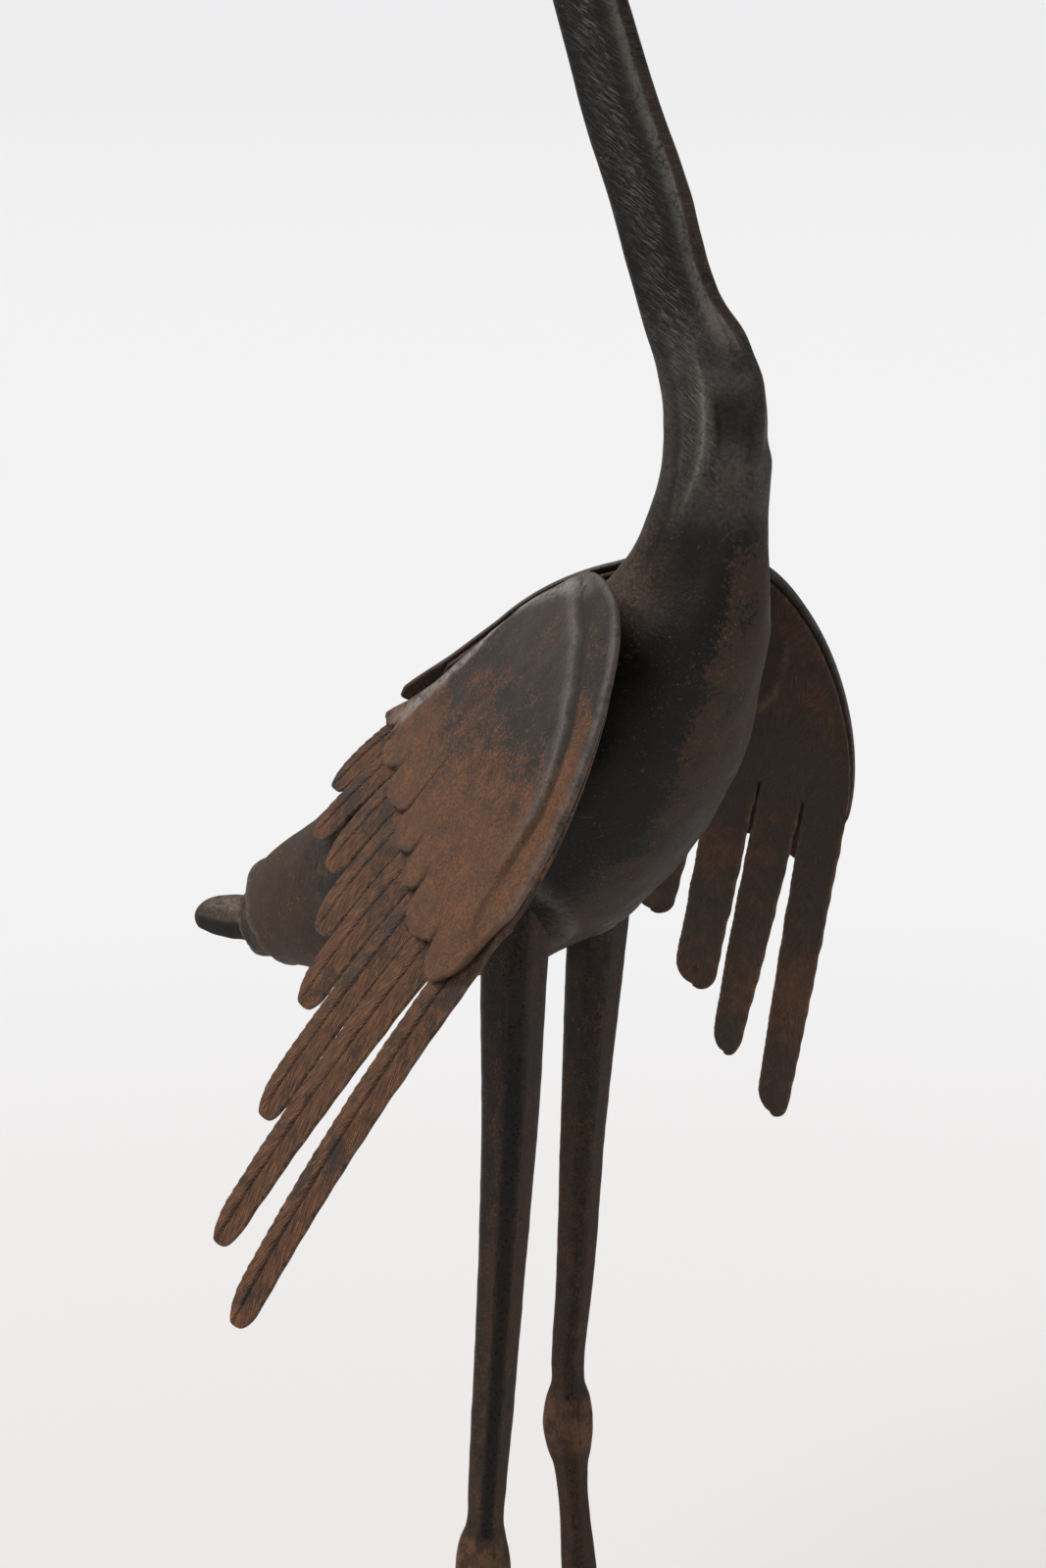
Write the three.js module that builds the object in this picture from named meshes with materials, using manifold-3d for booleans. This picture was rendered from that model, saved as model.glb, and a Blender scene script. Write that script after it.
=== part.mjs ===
// Wrought iron crane standing on a low base, with its wings hanging half open like a cloak.
// Millimetres, +Z up. The bird faces -Y, so its left side is +X. The origin is the middle of the base's underside.
import * as THREE from 'three';
import { mergeVertices } from 'three/addons/utils/BufferGeometryUtils.js';
import Module from 'manifold-3d';

// Driving dimensions
const BASE_LENGTH = 250;
const BASE_WIDTH = 190;
const BASE_THICK = 8;
const BASE_CORNER = 22;
const BASE_CHAMFER = 1.5;
const BASE_CORNER_STEPS = 5;
const FIT_GAP = 0.3; // left between pieces that are welded or riveted together
const SLIVER = 0.02; // booleans leave no edge shorter than this

// The body, neck, head and bill are one forging, swept along a line in the bird's middle plane.
// Each station is [y, z, belly, back, side, slant in degrees, crispness]: where the line passes, how far
// the three faces of the section stand off it, how much the sides lean in to the front, and how sharp its
// corners are, from 2 for an ellipse upwards.
const BODY_STATIONS = [
  [143, 439, 18.6, 22, 19.5, 0, 2],
  [128, 445, 23.5, 27.8, 25.8, 0, 2],
  [104, 453, 31, 35, 33.2, 0, 2],
  [78, 463, 38.5, 42, 40, 0, 2],
  [48, 477, 44.5, 46.5, 45, 0, 2],
  [18, 495, 46.5, 49, 47, 0, 2],
  [-5, 513, 45.5, 49, 47, 0, 2],
  [-24, 533, 41, 46, 45, 0, 2],
  [-40, 557, 34, 39, 38, 0, 2],
  [-51, 577, 26.5, 31, 28, 0, 2.1],
  [-58, 597, 22.5, 24, 20, 2, 2.4],
  [-61, 615, 20, 19, 15.5, 6, 3],
  [-61.5, 634, 19.5, 15, 13, 12, 4.5],
  [-60, 652, 21.5, 13, 11, 18, 6],
  [-55, 667, 17, 11.5, 9.5, 19, 7],
  [-46.5, 686, 12.8, 10.8, 8.6, 18, 7],
  [-34, 720, 13, 10.6, 8.2, 17, 7],
  [-20.5, 752, 12, 10.4, 7.8, 17, 7],
  [-8, 786, 11.3, 10.2, 7.4, 16, 7],
  [1, 818, 10.5, 10.5, 7.2, 14, 6],
  [4, 848, 10, 10, 7.2, 10, 5],
  [-2, 877, 9.5, 10.5, 7.5, 6, 4],
  [-17, 899, 10, 11.5, 8.8, 0, 3.2],
  [-38, 908, 11, 13, 10.2, 0, 2.8],
  [-56, 906, 9, 10, 8.2, 0, 2.6],
  [-69, 903, 6.5, 6.5, 5.6, 0, 2.4],
  [-93, 899, 4.8, 4.8, 4, 0, 2.4],
  [-131, 893, 3.3, 3.3, 2.8, 0, 2.4],
  [-166, 887, 1.6, 1.6, 1.4, 0, 2.2],
];
const BODY_RING_STEP = 11;
const BODY_SIDES = 24;

// The tail sleeve is a short cup in the open end of the body, and the tail feather comes out of it.
const SLEEVE_RADIUS = 16.6;
const SLEEVE_END_RADIUS = 11.6;
const SLEEVE_WALL = 1.8;
const SLEEVE_INSIDE = 11;
const SLEEVE_PROUD = 11;
const SLEEVE_FLOOR = 5;
const SLEEVE_SIDES = 20;
const TAIL_DROOP = 17; // degrees below level
const FEATHER_LIFT = 11; // and the feather is bent up by this where it leaves the sleeve
const FEATHER_REACH = 34;
const FEATHER_RADIUS = 9.3;
const FEATHER_THICK = 2.2;
const FEATHER_ARC = 138; // degrees to each side of its middle line
const FEATHER_SIDES = 8;
const FEATHER_STEPS = [0, 0.3, 0.5, 0.66, 0.8, 0.92, 1]; // shares of its length
const FEATHER_ROOT = 0.9; // its radius at the root, as a share of the widest
const FEATHER_TIP = 0.5; // from this share of its length it narrows,
const FEATHER_NARROWING = 0.82; // losing this much of its radius squared,
const FEATHER_NARROWING_POWER = 2.4; // the faster the nearer the tip,
const FEATHER_TIP_ARC = 0.8; // and it opens out to this share of its arc
const FEATHER_LEAST_INSIDE = 0.35; // its inner radius at least, as a share of the outer

// Both wings are bent sheet. On that sheet u runs back from the top of the shoulder's arch and v runs
// down the wing. The left wing is given here, and the right one is its mirror image but for its outline.
const SHOULDER = new THREE.Vector3(44.5, -51, 590.5);
const WING_SWEEP = 37.2;
const WING_SPREAD = 17.9;
const WING_YAW = 26;
const WING_BEND = 1 / 990; // the sheet falls away from the shoulder's plane by this times u squared,
const WING_BEND_FORWARD = 1 / 308000; // and by this much more, times u cubed, towards the front
const SHEET_THICK = 2.2;
const LINING_GAP = 0.9; // from the coverts to the flight feathers, whose facets don't fall in the same places
const FLIGHT_FACE = -SHEET_THICK - LINING_GAP; // the flight feathers' outer face, off the coverts'
const ARCH_HEIGHT = 100;
const ARCH_BACK = { right: 78, left: 86 };
const ARCH_BACK_POWER = 2;
const ARCH_FRONT = { right: 76, left: 71.5 };
const ARCH_FRONT_POWER = { right: 1.7, left: 1.5 };
const RIM_BEHIND = { // from the first of these [u, v] back, the rim leaves the arch and runs through them
  right: [[54, 27.8], [62.5, 55.6], [69, 80], [76, 99.5], [85, 113.5]],
  left: [[80, 63.3], [93, 93], [103, 115]],
};
const CURL_START = 0.7; // the share of the arch inside which the sheet isn't curled
const CURL_FROM = 20; // the rim behind this is bent in,
const CURL_FULL = 50; // fully from here,
const CURL = { right: 6.5, left: 2.5 }; // by this
const RIB_HEIGHT = 1.2;
const RIB_HALF = 3.4;
const RIB_BAND = 20.5; // between the rim and the rib's crest at the top,
const RIB_BAND_GROWTH = 0.06; // and wider by this towards the front,
const RIB_TURN = -52; // from this u forwards it runs more down the wing,
const RIB_DROP = 2.2; // by this for each millimetre,
const RIB_SHARE = 0.66; // but stays within this share of the plate
const RIB_END = 24;
const LUG_PLACE = [34, 42]; // u and v of the lug on the body's side that the wing is welded to
const LUG_RADIUS = 12;
const LUG_ROOT_RADIUS = 15;
const LUG_LENGTH = 20;
const LUG_SIDES = 16;

// The coverts end in lobes: where each lobe ends along the wing, and how far down its tip hangs.
const LOBE_EDGES = {
  right: [-75, -54, -28, -10, 14, 43, 68, 84],
  left: [-71, -52, -28, -8, 16, 44, 73, 102],
};
const LOBE_TIPS = {
  right: [128.5, 128, 124, 122, 120, 119, 114],
  left: [128.5, 128, 124, 122, 120.5, 120, 119],
};
const LOBE_NOTCH = 7.5;
const FIRST_LOBE_RISE = 20; // the first lobe is cut back up to the leading edge
const LAST_LOBE_RISE = 2; // the last lobe's tip is at the wing's back edge
const LOBE_STEPS = [0, 0.1, 0.35, 0.68, 0.9]; // shares of a lobe's width
const LOBE_ROUND = 0.55;
const LOBE_SKEW = 1.4; // above 1 each lobe hangs lowest towards its back
const COVERT_ROWS = [0.35, 0.68, 1]; // shares of the way from the rib to the lobes' tips

// The eight flight feathers are cut out of one sheet that lines the coverts up to their rim.
const FLIGHT_TOP_SETBACK = 3;
const FLIGHT_LEAST_ROOT = 3; // at least this far above the slits
const FLIGHT_ROOT_ROWS = [0, 0.15, 0.4, 0.7, 1]; // shares of the way from the rim to the slits
const SLIT_TOP = 96;
const FLIGHT_SLITS = {
  right: [-76, -58.5, -38, -20.5, 0, 21, 41, 58, 73],
  left: [-71, -53, -35, -16, 3, 24, 47, 70, 91],
};
const FLIGHT_TIPS = {
  right: [[-100, 262], [-67.5, 255], [-40, 217.5], [-12, 186], [14, 170], [41, 159], [69, 163], [86, 150]],
  left: [[-102, 257], [-74, 240], [-50, 213], [-21, 183], [9, 170], [39, 160], [67, 163], [94, 152]],
};
const FLIGHT_BOW = { right: 4.3, left: 0 }; // how far back the feathers' middles are bent
const FLIGHT_ROWS = [0.25, 0.5, 0.75, 0.92, 1]; // shares of a feather's free length
const FLIGHT_TAPERS = [0.2, 0.3, 0.05, 0.08, 0.08, 0.08, 0.08, 0.08]; // share of the width lost by the tip
const FLIGHT_TIP_ROUND = 11;
const FLIGHT_TIP_BLUNT = 0.4;
const SLIT_WIDTH = 0.5;
const QUILL_DEPTH = 0.5;
const EDGE_FALL = 0.5;

// Each leg is one bar, drawn down from the thigh to the hock, with a forged knob there.
// Each station is [y, z, width], and the bar stands at a constant distance from the middle plane.
const LEG_OFFSET = 28;
const RIGHT_LEG = [
  [-1, 500, 19], [4, 460, 18.8], [7, 388, 15.4], [11, 330, 12.3], [15, 280, 10.8], [18, 245, 9.4],
  [19, 233, 9], [20, 224, 13], [20, 213, 16], [20, 202, 13], [20, 194, 9.2], [19, 150, 9],
  [17, 70, 8.8], [15, 24, 10],
];
const LEFT_LEG = [
  [5, 500, 18.5], [10, 455, 16.8], [17, 373, 12], [21, 310, 9.8], [24, 278, 8.6],
  [24, 270, 8.8], [24, 262, 12], [24, 251, 14.6], [23, 240, 11.6], [22.5, 232, 8.8], [18, 190, 9.2],
  [9, 90, 8.8], [4, 24, 10],
];
const LEG_SIDES = 12;
const LEG_CRISPNESS = 7;
const LEG_RING_STEP = 44;
const TOES = [[-26, 56], [0, 64], [26, 56], [180, 26]]; // degrees from straight ahead, length
const TOE_PROFILE = [[0, 1], [0.3, 1.02], [0.42, 1.14], [0.55, 0.86], [0.8, 0.66], [1, 0.34]]; // share along, size
const TOE_ROOT = 11;
const TOE_TIP = 4.5;
const TOE_SIDES = 8;
const TOE_CRISPNESS = 6;
const ANKLE_FLARE = 4; // the bar is upset to this much wider where the toes leave it
const ANKLE_BACK = 1;

const iron = (name, color, roughness) =>
  new THREE.MeshStandardMaterial({ name, color, roughness, metalness: 0.55 });
const blackIron = iron('black forged iron', 0x241f1c, 0.5);
const brownIron = iron('brown rusted iron', 0x5a3f30, 0.7);
const baseIron = iron('rusted base plate', 0x46362c, 0.75);

const degrees = THREE.MathUtils.degToRad;
const clamp = THREE.MathUtils.clamp;
const lerp = THREE.MathUtils.lerp;

// A cubic curve through rows of numbers, spaced along the distance between their first two columns.
function throughRows(rows) {
  const positions = [0];
  for (let i = 1; i < rows.length; i += 1) {
    const step = Math.hypot(rows[i][0] - rows[i - 1][0], rows[i][1] - rows[i - 1][1]);
    positions.push(positions[i - 1] + step);
  }
  const curve = new THREE.CubicInterpolant(positions, rows.flat(), rows[0].length);
  const length = positions[positions.length - 1];
  return { length, at: (distance) => Array.from(curve.evaluate(clamp(distance, 0, length))) };
}

// The distance from a section's middle to its edge: flat faces, each [direction, distance], with the
// corners between them as sharp as crispness says.
function sectionRadius(angle, faces, crispness) {
  let sum = 0;
  for (const [direction, distance] of faces) {
    const facing = Math.cos(angle - direction);
    if (facing > 0) sum += (facing / distance) ** crispness;
  }
  return sum ** (-1 / crispness);
}

// A closed solid through rings with equal numbers of points, capped at both ends.
function loft(rings) {
  const sides = rings[0].length;
  const points = rings.flat();
  const index = [];
  for (let r = 0; r < rings.length - 1; r += 1) {
    for (let s = 0; s < sides; s += 1) {
      const a = r * sides + s;
      const b = r * sides + (s + 1) % sides;
      index.push(a, b, b + sides, a, b + sides, a + sides);
    }
  }
  for (const [ring, first, flip] of [[rings[0], 0, true], [rings.at(-1), points.length - sides, false]]) {
    const middle = points.length;
    points.push(ring.reduce((sum, p) => sum.add(p), new THREE.Vector3()).divideScalar(sides));
    for (let s = 0; s < sides; s += 1) {
      const a = first + s;
      const b = first + (s + 1) % sides;
      if (flip) index.push(middle, b, a);
      else index.push(middle, a, b);
    }
  }
  return outward(solidFrom(points, index));
}

function solidFrom(points, index) {
  const geometry = new THREE.BufferGeometry();
  geometry.setAttribute('position', new THREE.Float32BufferAttribute(points.flatMap((p) => p.toArray()), 3));
  geometry.setIndex(index);
  return geometry;
}

// Turns a closed mesh right side out.
function outward(geometry) {
  const position = geometry.getAttribute('position');
  const index = geometry.getIndex().array;
  const [a, b, c] = [new THREE.Vector3(), new THREE.Vector3(), new THREE.Vector3()];
  let volume = 0;
  for (let i = 0; i < index.length; i += 3) {
    a.fromBufferAttribute(position, index[i]);
    b.fromBufferAttribute(position, index[i + 1]);
    c.fromBufferAttribute(position, index[i + 2]);
    volume += a.dot(b.cross(c));
  }
  if (volume < 0) geometry.setIndex(Array.from(index).reverse());
  return geometry;
}

// Booleans
const wasm = await Module();
wasm.setup();

function toManifold(geometry) {
  const bare = geometry.clone();
  bare.deleteAttribute('normal');
  bare.deleteAttribute('uv');
  const merged = mergeVertices(bare, 1e-4);
  return new wasm.Manifold(new wasm.Mesh({
    numProp: 3,
    vertProperties: new Float32Array(merged.getAttribute('position').array),
    triVerts: new Uint32Array(merged.getIndex().array),
  }));
}

function toGeometry(solid) {
  const mesh = solid.simplify(SLIVER).getMesh();
  const geometry = new THREE.BufferGeometry();
  geometry.setAttribute('position', new THREE.BufferAttribute(new Float32Array(mesh.vertProperties), 3));
  geometry.setIndex(new THREE.BufferAttribute(new Uint32Array(mesh.triVerts), 1));
  return geometry;
}

// Body, neck, head and bill
function bodySolid(growth) {
  const line = throughRows(BODY_STATIONS);
  const count = Math.round(line.length / BODY_RING_STEP);
  const rings = [];
  for (let i = 0; i <= count; i += 1) {
    const distance = line.length * i / count;
    const [y, z, belly, back, side, slant, crispness] = line.at(distance);
    const before = line.at(distance - 1);
    const after = line.at(distance + 1);
    const along = new THREE.Vector2(after[0] - before[0], after[1] - before[1]).normalize();
    const lean = degrees(90 - slant);
    const faces = [
      [0, belly + growth], [Math.PI, back + growth], [lean, side + growth], [-lean, side + growth],
    ];
    const ring = [];
    for (let s = 0; s < BODY_SIDES; s += 1) {
      const angle = 2 * Math.PI * s / BODY_SIDES;
      const radius = sectionRadius(angle, faces, crispness);
      const forward = radius * Math.cos(angle);
      ring.push(new THREE.Vector3(
        radius * Math.sin(angle), y - along.y * forward, z + along.x * forward));
    }
    rings.push(ring);
  }
  return loft(rings);
}

// The tail's parts are made along +Y, drooping about X, from the open end of the body.
function placeOnTail(geometry) {
  const [y, z] = BODY_STATIONS[0];
  return geometry.rotateX(-degrees(TAIL_DROOP)).translate(0, y, z);
}

function tailSleeve(growth) {
  const outer = SLEEVE_RADIUS + growth;
  const rim = SLEEVE_END_RADIUS + growth;
  const start = -SLEEVE_INSIDE - growth;
  const profile = [[0, start], [outer, start], [outer, 0], [rim, SLEEVE_PROUD]];
  if (growth === 0) {
    const floor = start + SLEEVE_FLOOR;
    profile.push([rim - SLEEVE_WALL, SLEEVE_PROUD], [outer - SLEEVE_WALL, floor], [0, floor]);
  } else {
    profile.push([0, SLEEVE_PROUD]);
  }
  const points = profile.map(([x, y]) => new THREE.Vector2(x, y));
  return placeOnTail(new THREE.LatheGeometry(points, SLEEVE_SIDES));
}

// A leaf bent to a half pipe, its round side up, narrowing to a round tip.
function tailFeather() {
  const start = -SLEEVE_INSIDE + SLEEVE_FLOOR + FIT_GAP + FEATHER_RADIUS * Math.sin(degrees(FEATHER_LIFT));
  const rings = [];
  for (const step of FEATHER_STEPS) {
    const tip = clamp((step - FEATHER_TIP) / (1 - FEATHER_TIP), 0, 1);
    const shrink = Math.sqrt(1 - FEATHER_NARROWING * tip ** FEATHER_NARROWING_POWER);
    const radius = FEATHER_RADIUS * lerp(FEATHER_ROOT, 1, Math.sin(Math.PI * step)) * shrink;
    const arc = degrees(FEATHER_ARC) * lerp(1, FEATHER_TIP_ARC, tip);
    const inner = Math.max(radius - FEATHER_THICK, radius * FEATHER_LEAST_INSIDE);
    const y = lerp(start, SLEEVE_PROUD + FEATHER_REACH, step);
    const ring = [];
    for (let s = 0; s <= FEATHER_SIDES; s += 1) {
      const angle = lerp(-arc, arc, s / FEATHER_SIDES);
      ring.push(new THREE.Vector3(radius * Math.sin(angle), y, radius * Math.cos(angle)));
    }
    for (let s = FEATHER_SIDES; s >= 0; s -= 1) {
      const angle = lerp(-arc, arc, s / FEATHER_SIDES);
      ring.push(new THREE.Vector3(inner * Math.sin(angle), y, inner * Math.cos(angle)));
    }
    rings.push(ring);
  }
  const lifted = loft(rings).translate(0, -SLEEVE_PROUD, 0).rotateX(degrees(FEATHER_LIFT));
  return placeOnTail(lifted.translate(0, SLEEVE_PROUD, 0));
}

// Wings
const down = new THREE.Vector3(
  Math.tan(degrees(WING_SPREAD)), Math.tan(degrees(WING_SWEEP)), -1).normalize();
const rearward = new THREE.Vector3(-Math.sin(degrees(WING_YAW)), Math.cos(degrees(WING_YAW)), 0);
rearward.addScaledVector(down, -rearward.dot(down)).normalize();
const outwardAtShoulder = new THREE.Vector3().crossVectors(down, rearward);

// The arch is half a rounded diamond in front of the shoulder and half an ellipse behind it.
function archShape(u, hand) {
  return u < 0 ? [-u / ARCH_FRONT[hand], ARCH_FRONT_POWER[hand]] : [u / ARCH_BACK[hand], ARCH_BACK_POWER];
}

function archRadius(u, v, hand) {
  const [across, power] = archShape(u, hand);
  return (across ** power + (Math.max(0, ARCH_HEIGHT - v) / ARCH_HEIGHT) ** power) ** (1 / power);
}

// How far down the wing its rim is.
function archTop(u, hand) {
  const behind = RIM_BEHIND[hand];
  if (u > behind[0][0]) {
    const next = behind.findIndex(([along]) => along >= u);
    const [[u0, v0], [u1, v1]] = behind.slice(next - 1, next + 1);
    return lerp(v0, v1, (u - u0) / (u1 - u0));
  }
  const [across, power] = archShape(u, hand);
  return ARCH_HEIGHT * (1 - Math.max(0, 1 - across ** power) ** (1 / power));
}

// A point of the left wing's sheet, raised off it by height. The sheet curls in behind the shoulder.
function onSheet(u, v, height, hand) {
  const fall = WING_BEND * u ** 2 - WING_BEND_FORWARD * u ** 3;
  const slope = 2 * WING_BEND * u - 3 * WING_BEND_FORWARD * u ** 2;
  const edge = clamp((archRadius(u, v, hand) - CURL_START) / (1 - CURL_START), 0, 1);
  const behind = clamp((u - CURL_FROM) / (CURL_FULL - CURL_FROM), 0, 1);
  const curl = CURL[hand] * edge ** 2 * behind * clamp(1 - v / ARCH_HEIGHT, 0, 1);
  const lift = (height - curl) / Math.hypot(1, slope);
  const point = SHOULDER.clone().addScaledVector(down, v);
  point.addScaledVector(rearward, u + lift * slope);
  point.addScaledVector(outwardAtShoulder, lift - fall);
  return point;
}

// A plate of quadrilateral cells on the sheet. Each cell lists four [u, v, relief] corners in order,
// cells share their equal corners, and the plate lies between top and bottom off the sheet.
function plate(cells, top, bottom, hand) {
  const corners = new Map();
  const flat = [];
  const numbered = cells.map((cell) => cell.map((corner) => {
    const key = `${corner[0].toFixed(3)} ${corner[1].toFixed(3)}`;
    if (!corners.has(key)) {
      corners.set(key, flat.length);
      flat.push(corner);
    }
    return corners.get(key);
  }));
  const mirror = new THREE.Vector3(hand === 'left' ? 1 : -1, 1, 1);
  const upper = flat.map(([u, v, relief]) => onSheet(u, v, top + relief, hand).multiply(mirror));
  const lower = flat.map(([u, v]) => onSheet(u, v, bottom, hand).multiply(mirror));
  const index = [];
  const edges = new Map();
  for (const [a, b, c, d] of numbered) {
    const corner = new Set([a, b, c, d]);
    if (corner.size < 3) continue;
    const ring = [...corner];
    for (let i = 1; i < ring.length - 1; i += 1) {
      index.push(ring[0], ring[i], ring[i + 1]);
      index.push(ring[0] + flat.length, ring[i + 1] + flat.length, ring[i] + flat.length);
    }
    ring.forEach((from, i) => {
      const to = ring[(i + 1) % ring.length];
      if (edges.has(`${to} ${from}`)) edges.delete(`${to} ${from}`);
      else edges.set(`${from} ${to}`, [from, to]);
    });
  }
  for (const [from, to] of edges.values()) {
    index.push(from, from + flat.length, to + flat.length, from, to + flat.length, to);
  }
  return outward(solidFrom([...upper, ...lower], index));
}

// The cells between neighbouring columns of points, where each column has the same number of rows.
function cellsBetween(columns) {
  const cells = [];
  for (let c = 0; c < columns.length - 1; c += 1) {
    for (let r = 0; r < columns[c].length - 1; r += 1) {
      cells.push([columns[c][r], columns[c + 1][r], columns[c + 1][r + 1], columns[c][r + 1]]);
    }
  }
  return cells;
}

function lobeBottom(lobe, step, hand) {
  const last = LOBE_TIPS[hand].length - 1;
  const turned = step ** (lobe === 0 ? 1 : LOBE_SKEW);
  let rise = LOBE_NOTCH;
  if (lobe === 0 && turned < 0.5) rise = FIRST_LOBE_RISE;
  if (lobe === last && turned > 0.5) rise = LAST_LOBE_RISE;
  return LOBE_TIPS[hand][lobe] - rise * (1 - Math.sin(Math.PI * turned) ** LOBE_ROUND);
}

// The coverts: an arched plate with a raised rib beside its leading edge and a lobed lower edge.
function coverts(hand) {
  const columns = [];
  const last = LOBE_TIPS[hand].length - 1;
  for (let lobe = 0; lobe <= last; lobe += 1) {
    for (const step of [...LOBE_STEPS, ...(lobe === last ? [1] : [])]) {
      const u = lerp(LOBE_EDGES[hand][lobe], LOBE_EDGES[hand][lobe + 1], step);
      const top = archTop(u, hand);
      const bottom = lobeBottom(lobe, step, hand);
      const drop = Math.max(0, RIB_TURN - u) * RIB_DROP;
      const band = Math.min(RIB_BAND - RIB_BAND_GROWTH * u + drop, RIB_SHARE * (bottom - top));
      const half = Math.min(RIB_HALF, RIB_SHARE * band);
      const rib = top + band;
      const fade = clamp((RIB_END - u) / RIB_END, 0, 1);
      const rows = [[top, 0], [rib - half, 0], [rib, RIB_HEIGHT * fade], [rib + half, 0]];
      for (const part of COVERT_ROWS) rows.push([lerp(rib + half, bottom, part), 0]);
      columns.push(rows.map(([v, relief]) => [u, v, relief]));
    }
  }
  return plate(cellsBetween(columns), 0, -SHEET_THICK, hand);
}

// The lug that stands out of the body's side up to the wing's inner face.
function shoulderLug(hand) {
  const [u, v] = LUG_PLACE;
  const face = onSheet(u, v, FLIGHT_FACE - SHEET_THICK, hand);
  const root = onSheet(u, v, FLIGHT_FACE - SHEET_THICK - LUG_LENGTH, hand);
  const lug = new THREE.CylinderGeometry(LUG_RADIUS, LUG_ROOT_RADIUS, LUG_LENGTH, LUG_SIDES);
  const turn = new THREE.Quaternion().setFromUnitVectors(
    new THREE.Vector3(0, 1, 0), face.clone().sub(root).normalize());
  lug.applyQuaternion(turn).translate(...face.add(root).multiplyScalar(0.5).toArray());
  const solid = toManifold(lug);
  const placed = hand === 'left' ? solid : solid.mirror([1, 0, 0]);
  return placed.subtract(toManifold(flightFeathers(hand, FIT_GAP)));
}

// The flight feathers: one plate under the coverts, cut into eight feathers that fan apart.
function flightFeathers(hand, growth) {
  const cells = [];
  FLIGHT_TIPS[hand].forEach(([tipU, tipV], feather) => {
    const [front, back] = FLIGHT_SLITS[hand].slice(feather, feather + 2);
    const rootU = (front + back) / 2;
    const rootHalf = (back - front) / 2;
    const columns = [-1, 0, 1].map((across) => {
      const u = rootU + across * rootHalf;
      const top = Math.min(archTop(u, hand) + FLIGHT_TOP_SETBACK, SLIT_TOP - FLIGHT_LEAST_ROOT);
      const column = FLIGHT_ROOT_ROWS.map((part) => [u, lerp(top, SLIT_TOP, part), 0]);
      const length = tipV - SLIT_TOP;
      for (const part of FLIGHT_ROWS) {
        const distance = length * part;
        const left = length - distance + FLIGHT_TIP_BLUNT;
        const taper = 1 - FLIGHT_TAPERS[feather] * part ** 2;
        const round = Math.sqrt(1 - (1 - Math.min(1, left / FLIGHT_TIP_ROUND)) ** 2);
        const half = rootHalf * taper * round - SLIT_WIDTH / 2;
        const middle = lerp(rootU, tipU, part) + 4 * FLIGHT_BOW[hand] * part * (1 - part);
        const fall = across === 0 ? -QUILL_DEPTH : -EDGE_FALL;
        column.push([middle + across * half, SLIT_TOP + distance, fall]);
      }
      return column;
    });
    cells.push(...cellsBetween(columns));
  });
  return plate(cells, FLIGHT_FACE + growth, FLIGHT_FACE - SHEET_THICK - growth, hand);
}

// Legs, with their toes
const squareFaces = (width) => [0, 1, 2, 3].map((face) => [face * Math.PI / 2, width / 2]);

function bar(rows, x, crispness, sides) {
  const line = throughRows(rows);
  const distances = new Set();
  let passed = 0;
  rows.forEach((row, i) => {
    if (i === 0) return;
    const step = Math.hypot(row[0] - rows[i - 1][0], row[1] - rows[i - 1][1]);
    const parts = Math.max(1, Math.round(step / LEG_RING_STEP));
    for (let part = 0; part < parts; part += 1) distances.add(passed + step * part / parts);
    passed += step;
  });
  distances.add(passed);
  const rings = [...distances].map((distance) => {
    const [y, z, width] = line.at(distance);
    const ring = [];
    for (let s = 0; s < sides; s += 1) {
      const angle = 2 * Math.PI * (s + 0.5) / sides;
      const radius = sectionRadius(angle, squareFaces(width), crispness);
      ring.push(new THREE.Vector3(x + radius * Math.cos(angle), y + radius * Math.sin(angle), z));
    }
    return ring;
  });
  return loft(rings);
}

// A toe lies on the base, arched over its knuckle and tapering to a blunt claw.
function toe(direction, length) {
  const floor = BASE_THICK + FIT_GAP;
  const rings = TOE_PROFILE.map(([part, size]) => {
    const width = lerp(TOE_ROOT, TOE_TIP, part) * size;
    const height = lerp(TOE_ROOT, TOE_TIP, part) * size;
    const ring = [];
    for (let s = 0; s < TOE_SIDES; s += 1) {
      const angle = 2 * Math.PI * (s + 0.5) / TOE_SIDES;
      const radius = sectionRadius(angle, squareFaces(1), TOE_CRISPNESS);
      ring.push(new THREE.Vector3(
        radius * Math.cos(angle) * width, -length * part, floor + height * (0.5 + radius * Math.sin(angle))));
    }
    return ring;
  });
  const flat = rings.map((ring) => ring.map((p) => p.setZ(Math.max(p.z, floor))));
  return loft(flat).rotateZ(degrees(direction));
}

function leg(rows, side, bodyCutter) {
  const x = side * LEG_OFFSET;
  const [footY, , footWidth] = rows.at(-1);
  const shank = [...rows, [footY - ANKLE_BACK, BASE_THICK + FIT_GAP, footWidth + ANKLE_FLARE]];
  let solid = toManifold(bar(shank, x, LEG_CRISPNESS, LEG_SIDES));
  for (const [direction, length] of TOES) {
    const digit = toe(direction, length).translate(x, footY - ANKLE_BACK, 0);
    solid = solid.add(toManifold(digit));
  }
  return toGeometry(solid.subtract(bodyCutter));
}

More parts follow.
